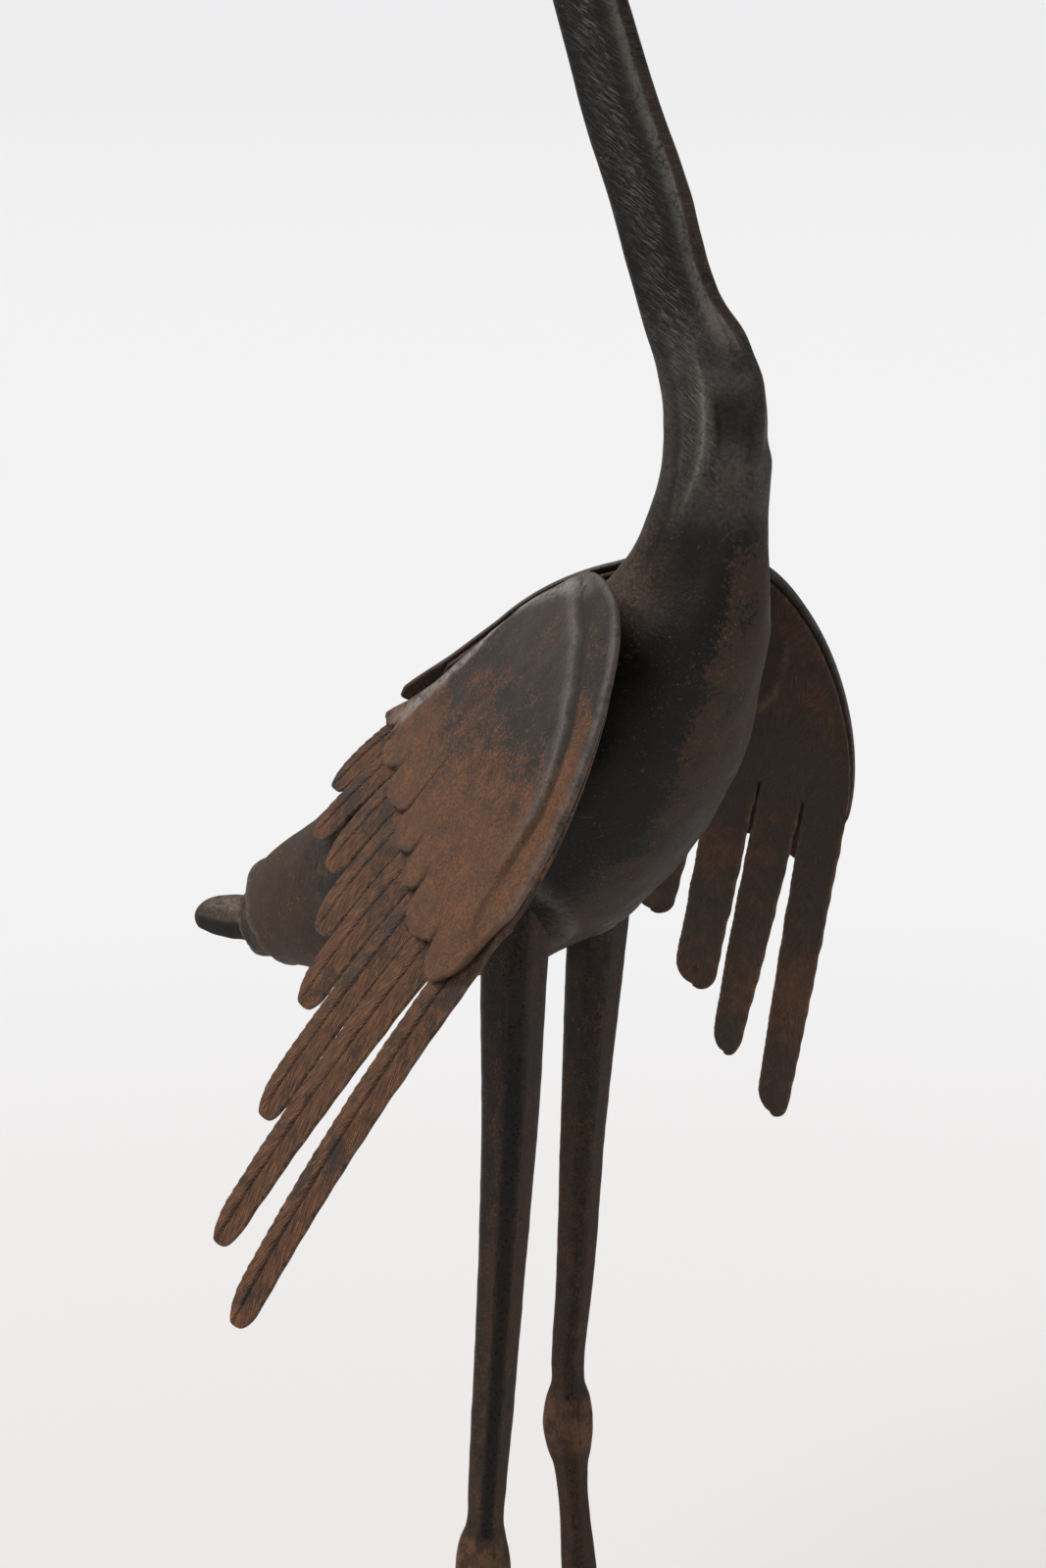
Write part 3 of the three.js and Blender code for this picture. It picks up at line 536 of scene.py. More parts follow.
def black_iron():
    """Blackened iron, chiselled and polished on the neck, with brown rust low down and in front, a painted
    sheen on the neck's chisel strokes, painted highlights on its ridges and painted shade in its hollows
    and under the knuckle.
    """
    iron = Finish("black_iron")
    worn, recess_shade, scoop, front, side = iron.marks(*BODY_MARKS)
    x, y, z = iron.parts(iron.place)
    patches = iron.cloud(60, 5, 0.6)
    mottle = iron.cloud(9, 8, 0.7)
    grain = iron.cloud(1.5, 4, 0.7)
    neck = iron.step(z, 600, 660)
    knuckle = iron.step(z, 604, 622) * iron.step(z, 684, 672) * (1 - side * 0.5)
    knuckle_top = iron.step(z, 660, 670) * iron.step(z, 696, 682) * (1 - side)
    low = iron.step(z, 500, 425)
    breast = iron.step(y, -22, -50) * iron.step(z, 590, 530)
    tail = iron.step(y, 62, 128)
    ends = {0: iron.place, 1: [part * MM for part in NEAR_SHOULDER]}
    from_shoulder = iron.node("ShaderNodeVectorMath", ends, "Value", operation="DISTANCE") / MM
    shoulder = iron.step(from_shoulder, 36, 10)
    rust = patches * 0.35 + mottle * 0.3 + grain * 0.35 + low * 0.03 + breast * 0.02 + shoulder * 0.06
    rust = rust + tail * 0.2 + front * (0.1 + neck * 0.04) + knuckle_top * 0.07 - neck * 0.02
    rust = iron.step(rust, 0.55, 0.63)
    orange = iron.step(mottle * 0.4 + grain * 0.6 + tail * 0.03 + shoulder * 0.06, 0.57, 0.66) * rust
    across = z * 0.83 - y * 0.56 + mottle * 3
    along = y * 0.83 + z * 0.56 + x * 0.3
    chiselled = iron.strokes(across, along, 0.42, 7)
    cut = neck * (side * 0.7 + 0.3) * (1 - scoop)
    specks = iron.step(iron.cloud(0.9, 3, 0.6) + patches * 0.12, 0.73, 0.8)
    scratch = iron.step(iron.strokes(x + y * 0.6, z - y * 0.3, 0.5, 7), 0.66, 0.72)
    bright = worn * iron.step(mottle * 0.4 + grain * 0.6, 0.33, 0.55)
    rubbed = iron.step(mottle * 0.45 + grain * 0.55, 0.38, 0.6)
    colour = iron.coats(
        (11, 11, 10),
        (grain, (30, 28, 25)),
        (rust * 0.85, (64, 48, 38)),
        (orange * 0.55, (122, 78, 47)),
        (knuckle * (1 - knuckle_top * 0.5) * (0.25 + rubbed * 0.5), (77, 70, 65)),
        (shoulder * (0.25 + rubbed * 0.45), (92, 74, 61)),
        # Real chisel strokes painted light grey as a sheen, most on the middle of the neck's sides.
        (iron.step(chiselled, 0.5, 0.62) * cut * 0.6, (100, 97, 92)),
        (scratch * 0.25, (96, 88, 80)),
        # Rubbed bright iron on the ridges, with the painted highlight beside the front ridge and the
        # painted rim light along the back.
        (bright * 0.75, (134, 129, 122)),
        (specks * 0.55, (132, 124, 114)),
        # Painted shade in the scoop under the knuckle's shelf.
        (scoop * 0.7, (11, 11, 11)),
        # Painted shade inside the tail socket, down the groove behind the neck and along the gape.
        (recess_shade * 0.8, (16, 13, 11)),
    )
    rough = 0.42 + mottle * 0.12 + rust * 0.26 - bright * 0.1 - scoop * 0.1
    metal = 0.3 + bright * 0.4 - rust * 0.2
    pitted = iron.step(iron.pits(2.6), 0.3, 0.1) * (0.15 + rust * 0.4)
    height = mottle * 0.3 + grain * (0.35 + rust * 0.2) + chiselled * cut * 1.2 - pitted * 0.35
    return iron.done(colour, rough, metal, height, 0.6, 0.22)


body = joined("body_neck_and_head_dressed", [body_shell, shoulder_lug("right"), shoulder_lug("left")])
finished(body, "body_neck_and_head", black_iron())

# Tail sleeve and tail feather: a short cup of sheet, its rim torn and thin, driven into the open tail, and
# a leaf of sheet bent to a half pipe that is welded inside it. Both are brown with rust.

# The sleeve's outline, turned round the tail's line: how far out and how far along, from the bottom of the
# cup up its inside, over the rim and down its outside.
SLEEVE_PROFILE = [
    [0, -6], [8, -6], [14.2, -6], [14.6, -3.5], [14.4, -1], [13.7, 3], [12.8, 7], [12.7, 10.4],
    [13.2, 11.2], [14.2, 11.3], [14.3, 10.9], [14.3, 8], [15.3, 3.8], [16.3, 0.4], [16.6, -2], [16.6, -7],
    [16.2, -11], [10, -11], [0, -11],
]
SLEEVE_RINGS = 64
SLEEVE_SIDES = 96
TAIL_DROOP = math.radians(17)
FEATHER_LIFT = math.radians(11)
FEATHER_RINGS = 60
FEATHER_SIDES = 36
FEATHER_PIVOT = 11
FEATHER_START = -3.9
FEATHER_LENGTH = 48.5
FEATHER_RADIUS = 9.3
FEATHER_ARC = math.radians(138)
FEATHER_THICK = 2


def on_tail(points):
    """Points made along the tail, put in place on the end of the body."""
    x, y, z = points.T
    y_turned = y * math.cos(TAIL_DROOP) + z * math.sin(TAIL_DROOP)
    z_turned = z * math.cos(TAIL_DROOP) - y * math.sin(TAIL_DROOP)
    return points_at(x, y_turned + BODY_STATIONS[0][0], z_turned + BODY_STATIONS[0][1])


def place_on_sleeve(ring, side):
    """Points of the cup in the open tail, whose rim is torn."""
    profile = np.array(SLEEVE_PROFILE)
    travelled = np.concatenate([[0], np.cumsum(np.hypot(*np.diff(profile, axis=0).T))])
    at = travelled[-1] * ring / (SLEEVE_RINGS - 1)
    radius = np.interp(at, travelled, profile[:, 0])
    along = np.interp(at, travelled, profile[:, 1])
    angle = 2 * math.pi * side / SLEEVE_SIDES
    turning = points_at(np.sin(angle), np.cos(angle), 0)
    rim = smooth(4, 11, along)
    torn = 1.1 + 1.3 * lumps(turning + 7, 0.45) + 0.6 * lumps(turning, 0.14)
    torn = torn - 1.4 * smooth(0.6, 1, turning[:, 1])
    along = along - rim * np.clip(torn, -0.3, 3)
    uneven = 0.35 * lumps(turning * 12 + along[:, None], 6) * smooth(-4, 4, along)
    radius = radius + uneven * (radius > 2)
    points = points_at(radius * np.sin(angle), along, radius * np.cos(angle))
    # The cut mark here is painted shade down inside the cup.
    inside = (ring < SLEEVE_RINGS * 0.42) * 0.8
    return on_tail(points), {
        "worn": rim * smooth(8.5, 10.5, along),
        "cut": np.maximum(smooth(4, -2, along), inside),
    }


def over_and_under(side, rows):
    """For a tube pressed flat into a sheet: which of its sides are underneath, and the row of each."""
    under = side >= rows
    return under, np.where(under, 2 * rows - 1 - side, side)


def place_on_feather(ring, side):
    """Points of the bent leaf, from its root in the sleeve to its tip."""
    part = ring / (FEATHER_RINGS - 1)
    tip = ramp(0.5, 1, part)
    radius = FEATHER_RADIUS * (0.9 + 0.1 * np.sin(math.pi * part)) * np.sqrt(1 - 0.8 * tip**4)
    arc = FEATHER_ARC * (1 - 0.2 * tip)
    thick = np.minimum(FEATHER_THICK, radius * 0.65) * np.sqrt(1 - smooth(0.93, 1, part) * 0.999)
    thick = thick * smooth(0, 0.02, part)
    inner, row = over_and_under(side, FEATHER_SIDES)
    turn = row / (FEATHER_SIDES - 1)
    lip = np.sqrt(1 - np.abs(2 * turn - 1) ** 24)
    angle = arc * (2 * turn - 1) + 0.02 * lumps(points_at(turn * 4, part * 9, 0), 1)
    middle = radius - thick / 2
    ragged = 0.03 * lumps(points_at(part, part, turn), 0.1)
    low = smooth(0.6, 0.66, np.abs(2 * turn - 1) + ragged)
    reach = middle + np.where(inner, -0.5, 0.5) * thick * lip + 0.2 * np.sin(part * 23) * (1 - tip)
    reach = reach + 0.9 * low * smooth(0, 0.1, part) * smooth(1, 0.85, part)
    along = FEATHER_START + FEATHER_LENGTH * part - FEATHER_PIVOT
    x = reach * np.sin(angle)
    z = reach * np.cos(angle)
    y_lifted = along * math.cos(FEATHER_LIFT) - z * math.sin(FEATHER_LIFT) + FEATHER_PIVOT
    z_lifted = z * math.cos(FEATHER_LIFT) + along * math.sin(FEATHER_LIFT)
    points = points_at(x, y_lifted, z_lifted)
    outwards = points_at(np.sin(angle), 0, np.cos(angle))
    points = points + 0.16 * lumps(points, 5)[:, None] * outwards
    # top is a painted highlight on the leaf's upward face; the cut mark beside it is painted shade under
    # the leaf and along its lips.
    top = (1 - low) * smooth(-0.1, 0.7, np.cos(angle)) * smooth(1, 0.6, part)
    return on_tail(points), {"worn": 0.7 * top, "cut": np.maximum(inner * 0.8, low)}


def brown_iron():
    """Iron with an even brown rust, orange where it is thickest and grey on the edges, with painted shade
    inside the cup and under the leaf and a painted highlight on the leaf's top.
    """
    iron = Finish("brown_iron")
    worn, cut = iron.marks("worn", "cut")
    mottle = iron.cloud(7, 8, 0.68)
    grain = iron.cloud(1.3, 4, 0.7)
    orange = iron.step(mottle * 0.5 + grain * 0.5, 0.52, 0.66)
    bright = worn * iron.step(grain * 0.5 + mottle * 0.5, 0.4, 0.6)
    colour = iron.coats(
        (36, 29, 25),
        (mottle, (72, 57, 48)),
        (orange * 0.45, (124, 84, 54)),
        # Painted shade inside the cup, under the leaf and along its lips.
        (cut * 0.85, (20, 17, 16)),
        # Grey rubbed on the torn rim of the cup, and a painted highlight on the leaf's top.
        (bright * 0.7, (134, 120, 106)),
    )
    rough = 0.62 + mottle * 0.2 - bright * 0.15
    metal = 0.15 + bright * 0.3
    height = mottle * 0.5 + grain * 0.5
    return iron.done(colour, rough, metal, height, 0.5, 0.25)


tail_finish = brown_iron()
sleeve = rolled("tail_sleeve_dressed", SLEEVE_RINGS, SLEEVE_SIDES, place_on_sleeve)
finished(sleeve, "tail_sleeve", tail_finish)
feather = rolled("tail_feather_dressed", FEATHER_RINGS, 2 * FEATHER_SIDES, place_on_feather)
finished(feather, "tail_feather", tail_finish)

# Wing coverts: an arched plate of thick sheet over each shoulder, bent over a form, with a rib raised
# beside its leading edge, hollows fanned down it, and its lower edge filed into lobes that a chisel has cut
# apart a little way up. Rusted brown, with the high places rubbed blue-grey. A painted highlight lies along
# the top rim and its rolled back, and painted shade across the middle and in the cuts and gutter.

# Where the lobes part, as u, and how far down, as v, the tip of each of them is.
LOBE_EDGES = {
    "right": [-75, -54, -28, -10, 14, 43, 68, 84],
    "left": [-71, -52, -28, -8, 16, 44, 73, 102],
}
LOBE_TIPS = {
    "right": [128.5, 128, 124, 122, 120, 119, 114],
    "left": [128.5, 128, 124, 122, 120.5, 120, 119],
}
# How far the edge rises from a lobe's tip to the notch beside it, and at the wing's two ends.
LOBE_NOTCH, FIRST_LOBE_RISE, LAST_LOBE_RISE = 7.5, 20, 2
LOBE_ROUND = 0.55
LOBE_SKEW = 1.4
# The lower edges of the two wings are ragged in places of their own.
LOBE_RAGGED_AT = {"right": 5, "left": 4}
LOBE_COLUMNS = 26
COVERT_ROWS = 118
RIB_LINE = [
    (46, 18), (34, 14), (20, 14), (-2, 19), (-17, 27), (-33, 37), (-45, 50), (-53, 62), (-57, 77),
    (-59, 89), (-62, 99), (-67, 105), (-78, 107),
]
NOTCH_CUT = 10
# The lines that the hollows follow fan out from FAN_FROM, and stand at the lobes' own u at FAN_LEVEL.
FAN_FROM = (15, -45)
FAN_LEVEL = 120
EDGE_ROUND = 0.8
# How far each of these stands proud of the sheet.
COVERT_RELIEF = {
    "rib": 1.1, "gutter": -0.5, "hook": 0.9, "band": -0.45, "flute": 0.3, "cut": -1.1, "shingle": 0.5,
}


def from_line(u, v, line):
    """How far these places of the sheet are from a line of points, and on which side of it."""
    nearest = np.full(u.shape, 1e9)
    side = np.ones(u.shape)
    for (u0, v0), (u1, v1) in zip(line, line[1:]):
        length2 = (u1 - u0) ** 2 + (v1 - v0) ** 2
        part = np.clip(((u - u0) * (u1 - u0) + (v - v0) * (v1 - v0)) / length2, 0, 1)
        off_u = u - u0 - part * (u1 - u0)
        off_v = v - v0 - part * (v1 - v0)
        distance = np.hypot(off_u, off_v)
        facing = np.sign(off_u * (v1 - v0) - off_v * (u1 - u0))
        side = np.where(distance < nearest, facing, side)
        nearest = np.minimum(distance, nearest)
    return nearest, side


def rounded(distance, radius):
    """The half round of a sheet's edge: 0 at the edge and 1 from radius inwards."""
    return np.sqrt(1 - ramp(radius, 0, distance) ** 2)


def closer_at_ends(share, amount):
    """Even shares of 0 to 1, drawn towards both ends."""
    return (1 - amount) * share + amount * (1 - np.cos(math.pi * share)) / 2


def lobed_edge(hand):
    """Where the columns of the coverts stand along the wing, and how far down each of them reaches."""
    edges = LOBE_EDGES[hand]
    last_lobe = len(edges) - 2
    share = closer_at_ends(np.linspace(0, 1, LOBE_COLUMNS, endpoint=False), 0.65)
    columns = []
    bottoms = []
    for lobe, tip in enumerate(LOBE_TIPS[hand]):
        shares = np.append(share, 1) if lobe == last_lobe else share
        turned = shares ** (LOBE_SKEW if lobe else 1)
        rise = np.full(len(shares), LOBE_NOTCH)
        if lobe == 0:
            rise[turned < 0.5] = FIRST_LOBE_RISE
        if lobe == last_lobe:
            rise[turned > 0.5] = LAST_LOBE_RISE
        columns.append(edges[lobe] + (edges[lobe + 1] - edges[lobe]) * shares)
        bottoms.append(tip - rise * (1 - np.sin(math.pi * turned) ** LOBE_ROUND))
    column_u = np.concatenate(columns)
    ragged = lumps(points_at(column_u, 0, LOBE_RAGGED_AT[hand]), 3.2)
    ragged = ragged + 0.5 * lumps(points_at(0, column_u, LOBE_RAGGED_AT[hand]), 1.3)
    between_ends = (column_u > edges[0] + 3) * (column_u < edges[-1] - 3)
    return column_u, np.concatenate(bottoms) - np.abs(ragged) * between_ends


def covert_features(u, v, to_rim, to_lobe, edge, edges):
    """How strong each feature of the coverts is, up to 1. The fan's lines part the sheet into its lobes."""
    fan = FAN_FROM[0] + (u - FAN_FROM[0]) * (FAN_LEVEL - FAN_FROM[1]) / (v - FAN_FROM[1])
    lobe_at = np.interp(fan, edges, np.arange(len(edges)))
    flute = np.cos(2 * math.pi * (lobe_at + 0.15 * np.sin(3 * lobe_at))) * smooth(12, 60, v)
    near_rib, rib_side = from_line(u, v, RIB_LINE)
    ahead = rib_side < 0
    rib_share = smooth(46, 14, u) * smooth(0, 2.5, edge) * (1 - 0.55 * smooth(70, 95, v))
    nearest_notch = np.round(lobe_at)
    is_notch = (nearest_notch > 0) & (nearest_notch <= len(edges) - 2)
    cut = hump((lobe_at - nearest_notch) * 24, 0.75) * ramp(NOTCH_CUT, 0, to_lobe)
    return {
        "rib": hump(near_rib, np.where(ahead, 1.1, 4.2)) * rib_share,
        "gutter": hump(near_rib - 2.6, 1.5) * ahead * rib_share,
        "hook": ahead * smooth(0, 1.2, near_rib) * smooth(-42, -60, u) * smooth(84, 98, v),
        "band": ahead * smooth(2, 6, near_rib) * smooth(0.5, 5, to_rim) * smooth(30, 5, u),
        "flute": flute * smooth(0, 8, edge) * smooth(-48, -30, u) * smooth(122, 85, v),
        "cut": cut * is_notch,
        "shingle": (0.5 - (lobe_at - np.floor(lobe_at))) * smooth(10, 1, to_lobe) * ~ahead,
    }


def coverts(hand):
    """One wing's upper plate. Its rings are columns, each of which runs down its face and up its back."""
    edges = LOBE_EDGES[hand]
    column_u, column_bottom = lobed_edge(hand)
    column_top = arch_top(column_u, hand)
    bottom_slope = np.abs(np.gradient(column_bottom, column_u))
    row_share = closer_at_ends(np.linspace(0, 1, COVERT_ROWS), 0.7)

    def place(ring, side):
        under, row = over_and_under(side, COVERT_ROWS)
        u = column_u[ring]
        top = column_top[ring]
        bottom = column_bottom[ring]
        v = top + (bottom - top) * row_share[row]
        to_rim = from_rim(u, v, hand)
        to_lobe = (bottom - v) / np.hypot(1, np.minimum(bottom_slope[ring], 4))
        edge = np.minimum(np.minimum(to_rim, to_lobe), np.minimum(u - edges[0], edges[-1] - u))
        features = covert_features(u, v, to_rim, to_lobe, edge, edges)
        spot = points_at(u, v, 0)
        hammered = 0.42 * lumps(spot, 17) + 0.2 * lumps(spot + 40, 6) + 0.1 * lumps(spot + 80, 2.4)
        relief = sum(proud * features[name] for name, proud in COVERT_RELIEF.items())
        relief = relief + hammered * smooth(0, 3, edge)
        round_edge = rounded(edge, EDGE_ROUND)
        over = -SHEET / 2 + (SHEET / 2) * round_edge + relief * smooth(0, 1.5, edge)
        below = -SHEET / 2 - (SHEET / 2) * round_edge + 0.25 * lumps(spot, 9) * smooth(0, 2, edge)
        points = on_sheet(u, v, np.where(under, below, over), hand)
        rubbed_rib = 0.6 * features["rib"] * smooth(95, 45, v)
        # The top rim is rubbed and also carries a painted highlight.
        rim_wear_and_highlight = 0.5 * smooth(4, 1, to_rim) * smooth(112, 80, v)
        # Where the rolled back rim is painted with a highlight.
        roll_highlight_mask = hump(to_rim - 6.5, 4.5) * smooth(8, 30, u) * smooth(118, 96, v)
        dark = smooth(4.5, 0.5, to_lobe) * smooth(60, 100, v)
        return points, {
            "worn": np.maximum(rubbed_rib, rim_wear_and_highlight),
            # The cut mark is painted shade in the chisel cuts between the lobes and in the gutter before
            # the rib.
            "cut": np.clip(features["cut"] + 0.7 * features["gutter"], 0, 1),
            "dark": dark * smooth(-0.3, 0.4, lumps(spot + 20, 8)),
            "rolled": roll_highlight_mask * (~under) * np.clip(0.85 + 0.3 * lumps(spot, 17), 0, 1),
            "under": under * 1.0,
            "down": v - 0.22 * u + 42 * features["band"],
        }

    return rolled(f"wing_{hand}_coverts_dressed", len(column_u), 2 * COVERT_ROWS, place)


def wing_iron():
    """Brown rust over hammered sheet, rubbed back to blue-grey iron above, darkest at the lobes' tips, with
    painted highlights along the top rim and its rolled back and painted shade across the middle and in the
    cuts.
    """
    iron = Finish("wing_iron")
    worn, cut, dark, roll_highlight_mask, under, down = iron.marks("worn", "cut", "dark", "rolled", "under", "down")
    patches = iron.cloud(38, 5, 0.6)
    mottle = iron.cloud(9, 8, 0.7)
    fine = iron.cloud(2.6, 5, 0.7)
    grain = iron.cloud(1, 4, 0.7)
    flecks = iron.step(iron.cloud(0.8, 3, 0.6), 0.68, 0.76)
    pits = iron.step(iron.pits(2.4), 0.32, 0.12) * iron.step(fine, 0.45, 0.6)
    below = iron.step(down, 30, 112)
    rust = iron.step(patches * 0.25 + mottle * 0.35 + grain * 0.4 + below * 0.2, 0.54, 0.64)
    orange = iron.step(grain * 0.5 + mottle * 0.3 + fine * 0.2 + below * 0.05, 0.52, 0.62) * rust
    bright = worn * iron.step(mottle * 0.5 + fine * 0.5, 0.3, 0.56)
    # Painted shade: a darker band across the middle of the wing, where less light falls.
    middle = iron.step(abs(down - 62), 36, 8)
    thin_rust = iron.step(patches * 0.2 + mottle * 0.3 + grain * 0.5, 0.48, 0.58) * (1 - under)
    painted_roll_highlight = roll_highlight_mask * iron.step(mottle * 0.5 + fine * 0.5, 0.36, 0.56)
    dark_tips = dark * iron.step(mottle * 0.4 + grain * 0.6, 0.45, 0.56)
    colour = iron.coats(
        (34, 31, 29),
        (fine, (70, 64, 60)),
        # Painted shade across the middle of the wing.
        (middle * 0.4, (28, 26, 25)),
        (thin_rust * 0.5, (80, 59, 46)),
        (rust * (1 - under * 0.4) * 0.8, (90, 62, 45)),
        (orange * (1 - under * 0.6) * 0.5, (132, 86, 54)),
        # Painted highlight along the rolled back rim.
        (painted_roll_highlight * 0.75, (164, 157, 152)),
        # Rubbed blue-grey iron on the rib, and along the top rim partly a painted highlight.
        (bright * 0.65, (128, 120, 114)),
        (dark_tips * 0.8, (54, 54, 54)),
        # Painted shade in the chisel cuts between the lobes and in the gutter.
        (cut * 0.85, (24, 18, 15)),
        (pits * 0.5, (32, 25, 21)),
        (flecks * 0.35, (150, 132, 114)),
    )
    rough = 0.56 + fine * 0.2 + rust * 0.12 - bright * 0.14
    metal = 0.15 + bright * 0.35
    height = mottle * 0.35 + fine * 0.35 + grain * 0.4 - pits * 0.25
    return iron.done(colour, rough, metal, height, 0.8, 0.22)


wing_finish = wing_iron()
for hand in ("right", "left"):
    finished(coverts(hand), f"wing_{hand}_coverts", wing_finish)

# Flight feathers: a second sheet riveted inside the coverts, slit into eight long feathers that fan apart.
# Each has a quill groove chased down it, vanes that fall away to both sides, fine slanting chisel lines and
# a back edge nicked into barbs. Brown, with orange rust thickest by the grooves, which are painted dark as
# shade.
RIM_SETBACK = 3
LEAST_ROOT = 3
# Where the slits start, as v and u, and the tip of each feather between them, as u and v.
SLIT_TOP = 96
FLIGHT_SLITS = {
    "right": [-76, -58.5, -38, -20.5, 0, 21, 41, 58, 73],
    "left": [-71, -53, -35, -16, 3, 24, 47, 70, 91],
}
FLIGHT_TIPS = {
    "right": [
        (-100, 262), (-67.5, 255), (-40, 217.5), (-12, 186), (14, 170), (41, 159), (69, 163), (86, 150)],
    "left": [(-102, 257), (-74, 240), (-50, 213), (-21, 183), (9, 170), (39, 160), (67, 163), (94, 152)],
}
FLIGHT_BOW = {"right": 4.3, "left": 0}
# Where the lines down each half of a feather stand, from the quill, 0, to its side, 1.
HALF_ACROSS = [0.08, 0.17, 0.3, 0.45, 0.62, 0.78, 0.9, 0.97, 1]
ACROSS = np.array([-a for a in reversed(HALF_ACROSS)] + [0] + HALF_ACROSS)
ROOT_ROWS, ROOT_CLOSING = 36, 1.15
FREE_ROWS, FREE_CLOSING = 132, 1.25
FLIGHT_ROWS = ROOT_ROWS + FREE_ROWS
FLIGHT_TAPERS = np.array([0.2, 0.3, 0.05, 0.08, 0.08, 0.08, 0.08, 0.08])
TIP_ROUND = {"right": 12, "left": 10}
TIP_SQUARE = {"right": 2, "left": 2.25}
SLIT_WIDTH = 0.5
VANE_FALL, VANE_ROUND = 1.1, 1.6
QUILL_HALF = 0.9
FEATHER_TILT = 0.8
BARB_PITCH = 4.4
BARB_NICK = {"right": 0.6, "left": 0.2}
# A low ridge on the inside of the left wing.
INNER_LINE = [(-1, 75), (-11, 71), (-22, 62), (-24, 52), (-23, 41), (-20, 27)]


def flight_feathers(hand):
    """One wing's lower plate, of columns as the coverts are, with one strip of them for each feather."""
    slits = np.array(FLIGHT_SLITS[hand], float)
    tips = np.array(FLIGHT_TIPS[hand], float)
    columns = len(ACROSS)

    def place(ring, side):
        # Above the tops of the slits the feathers are one sheet, and below them each is a strip of its own.
        under, row = over_and_under(side, FLIGHT_ROWS)
        number = ring // columns
        across = ACROSS[ring % columns]
        root_u = (slits[number] + slits[number + 1]) / 2
        root_half = (slits[number + 1] - slits[number]) / 2
        tip_u, tip_v = tips[number].T
        length = tip_v - SLIT_TOP
        at_root = row < ROOT_ROWS
        rim = arch_top(root_u + across * root_half, hand) + RIM_SETBACK
        rim = np.minimum(rim, SLIT_TOP - LEAST_ROOT)
        root_share = (row / (ROOT_ROWS - 1)) ** ROOT_CLOSING
        part = 1 - ramp(FLIGHT_ROWS - 1, ROOT_ROWS - 1, row) ** FREE_CLOSING
        run = length * part
        left = length - run
        square = TIP_SQUARE[hand]
        into_tip = np.minimum(1, left / TIP_ROUND[hand])
        tip_shape = (1 - (1 - into_tip) ** square) ** (1 / square)
        nick = 1 - (run / BARB_PITCH + 0.37 * number) % 1
        spot = points_at(number * 30, run, across)
        uneven = np.where(across > 0, -BARB_NICK[hand] * nick, 0.12 * np.sin(run / 1.9 + number))
        uneven = uneven + 0.22 * lumps(spot, 11)
        freed = smooth(0, 8, run)
        taper = 1 - FLIGHT_TAPERS[number] * part**2
        half = root_half * taper * tip_shape - SLIT_WIDTH / 2 + uneven * freed * tip_shape
        half = np.where(at_root, root_half, np.maximum(half, 0))
        bow = 4 * FLIGHT_BOW[hand] * part * (1 - part)
        u = root_u + (tip_u - root_u) * part + bow + across * half
        v = np.where(at_root, rim + (SLIT_TOP - rim) * root_share, SLIT_TOP + run)
        # How far each point is from the sheet's edges, and what stands off its face there.
        outermost = ((number == 0) & (across < 0)) | ((number == len(tips) - 1) & (across > 0))
        to_side = np.where(at_root & ~outermost, 99, (1 - np.abs(across)) * half)
        edge = np.minimum(np.minimum(to_side, np.maximum(v - rim, 0)), left)
        from_quill = np.abs(across) * half
        vane = smooth(0, 14, run)
        groove = ramp(QUILL_HALF, 0, from_quill) * vane * ramp(0, 8, left)
        roof = -VANE_FALL * np.abs(across) ** VANE_ROUND * vane
        tilt = FEATHER_TILT * across * smooth(0, 30, run)
        place_uv = points_at(u, v, 0)
        hammered = 0.2 * lumps(place_uv, 9) + 0.09 * lumps(place_uv + 30, 3)
        from_ridge, _ = from_line(u, v, INNER_LINE)
        ridge = hump(from_ridge, 1.3) * (hand == "left")
        round_edge = rounded(edge, EDGE_ROUND)
        middle = LINING - SHEET / 2 + tilt + 0.4 * roof
        inwards = smooth(0, 1.2, edge)
        over = middle + SHEET / 2 * round_edge + (0.6 * roof - 0.8 * groove + hammered) * inwards
        below = middle - SHEET / 2 * round_edge + (0.6 * hammered - 0.5 * ridge) * inwards
        points = on_sheet(u, v, np.where(under, below, over), hand)
        rubbed_side = smooth(1.4, 0.2, np.minimum(edge, to_side)) * vane
        return points, {
            "across": across * half,
            "along": v - SLIT_TOP,
            # The cut mark is painted shade down the quill groove.
            "cut": np.clip(groove * 1.5 * ~under, 0, 1),
            "worn": np.maximum(rubbed_side, 0.7 * ridge * under),
            "under": under * 1.0,
        }

    name = f"wing_{hand}_flight_feathers_dressed"
    return rolled(name, columns * len(tips), 2 * FLIGHT_ROWS, place, strips=len(tips))


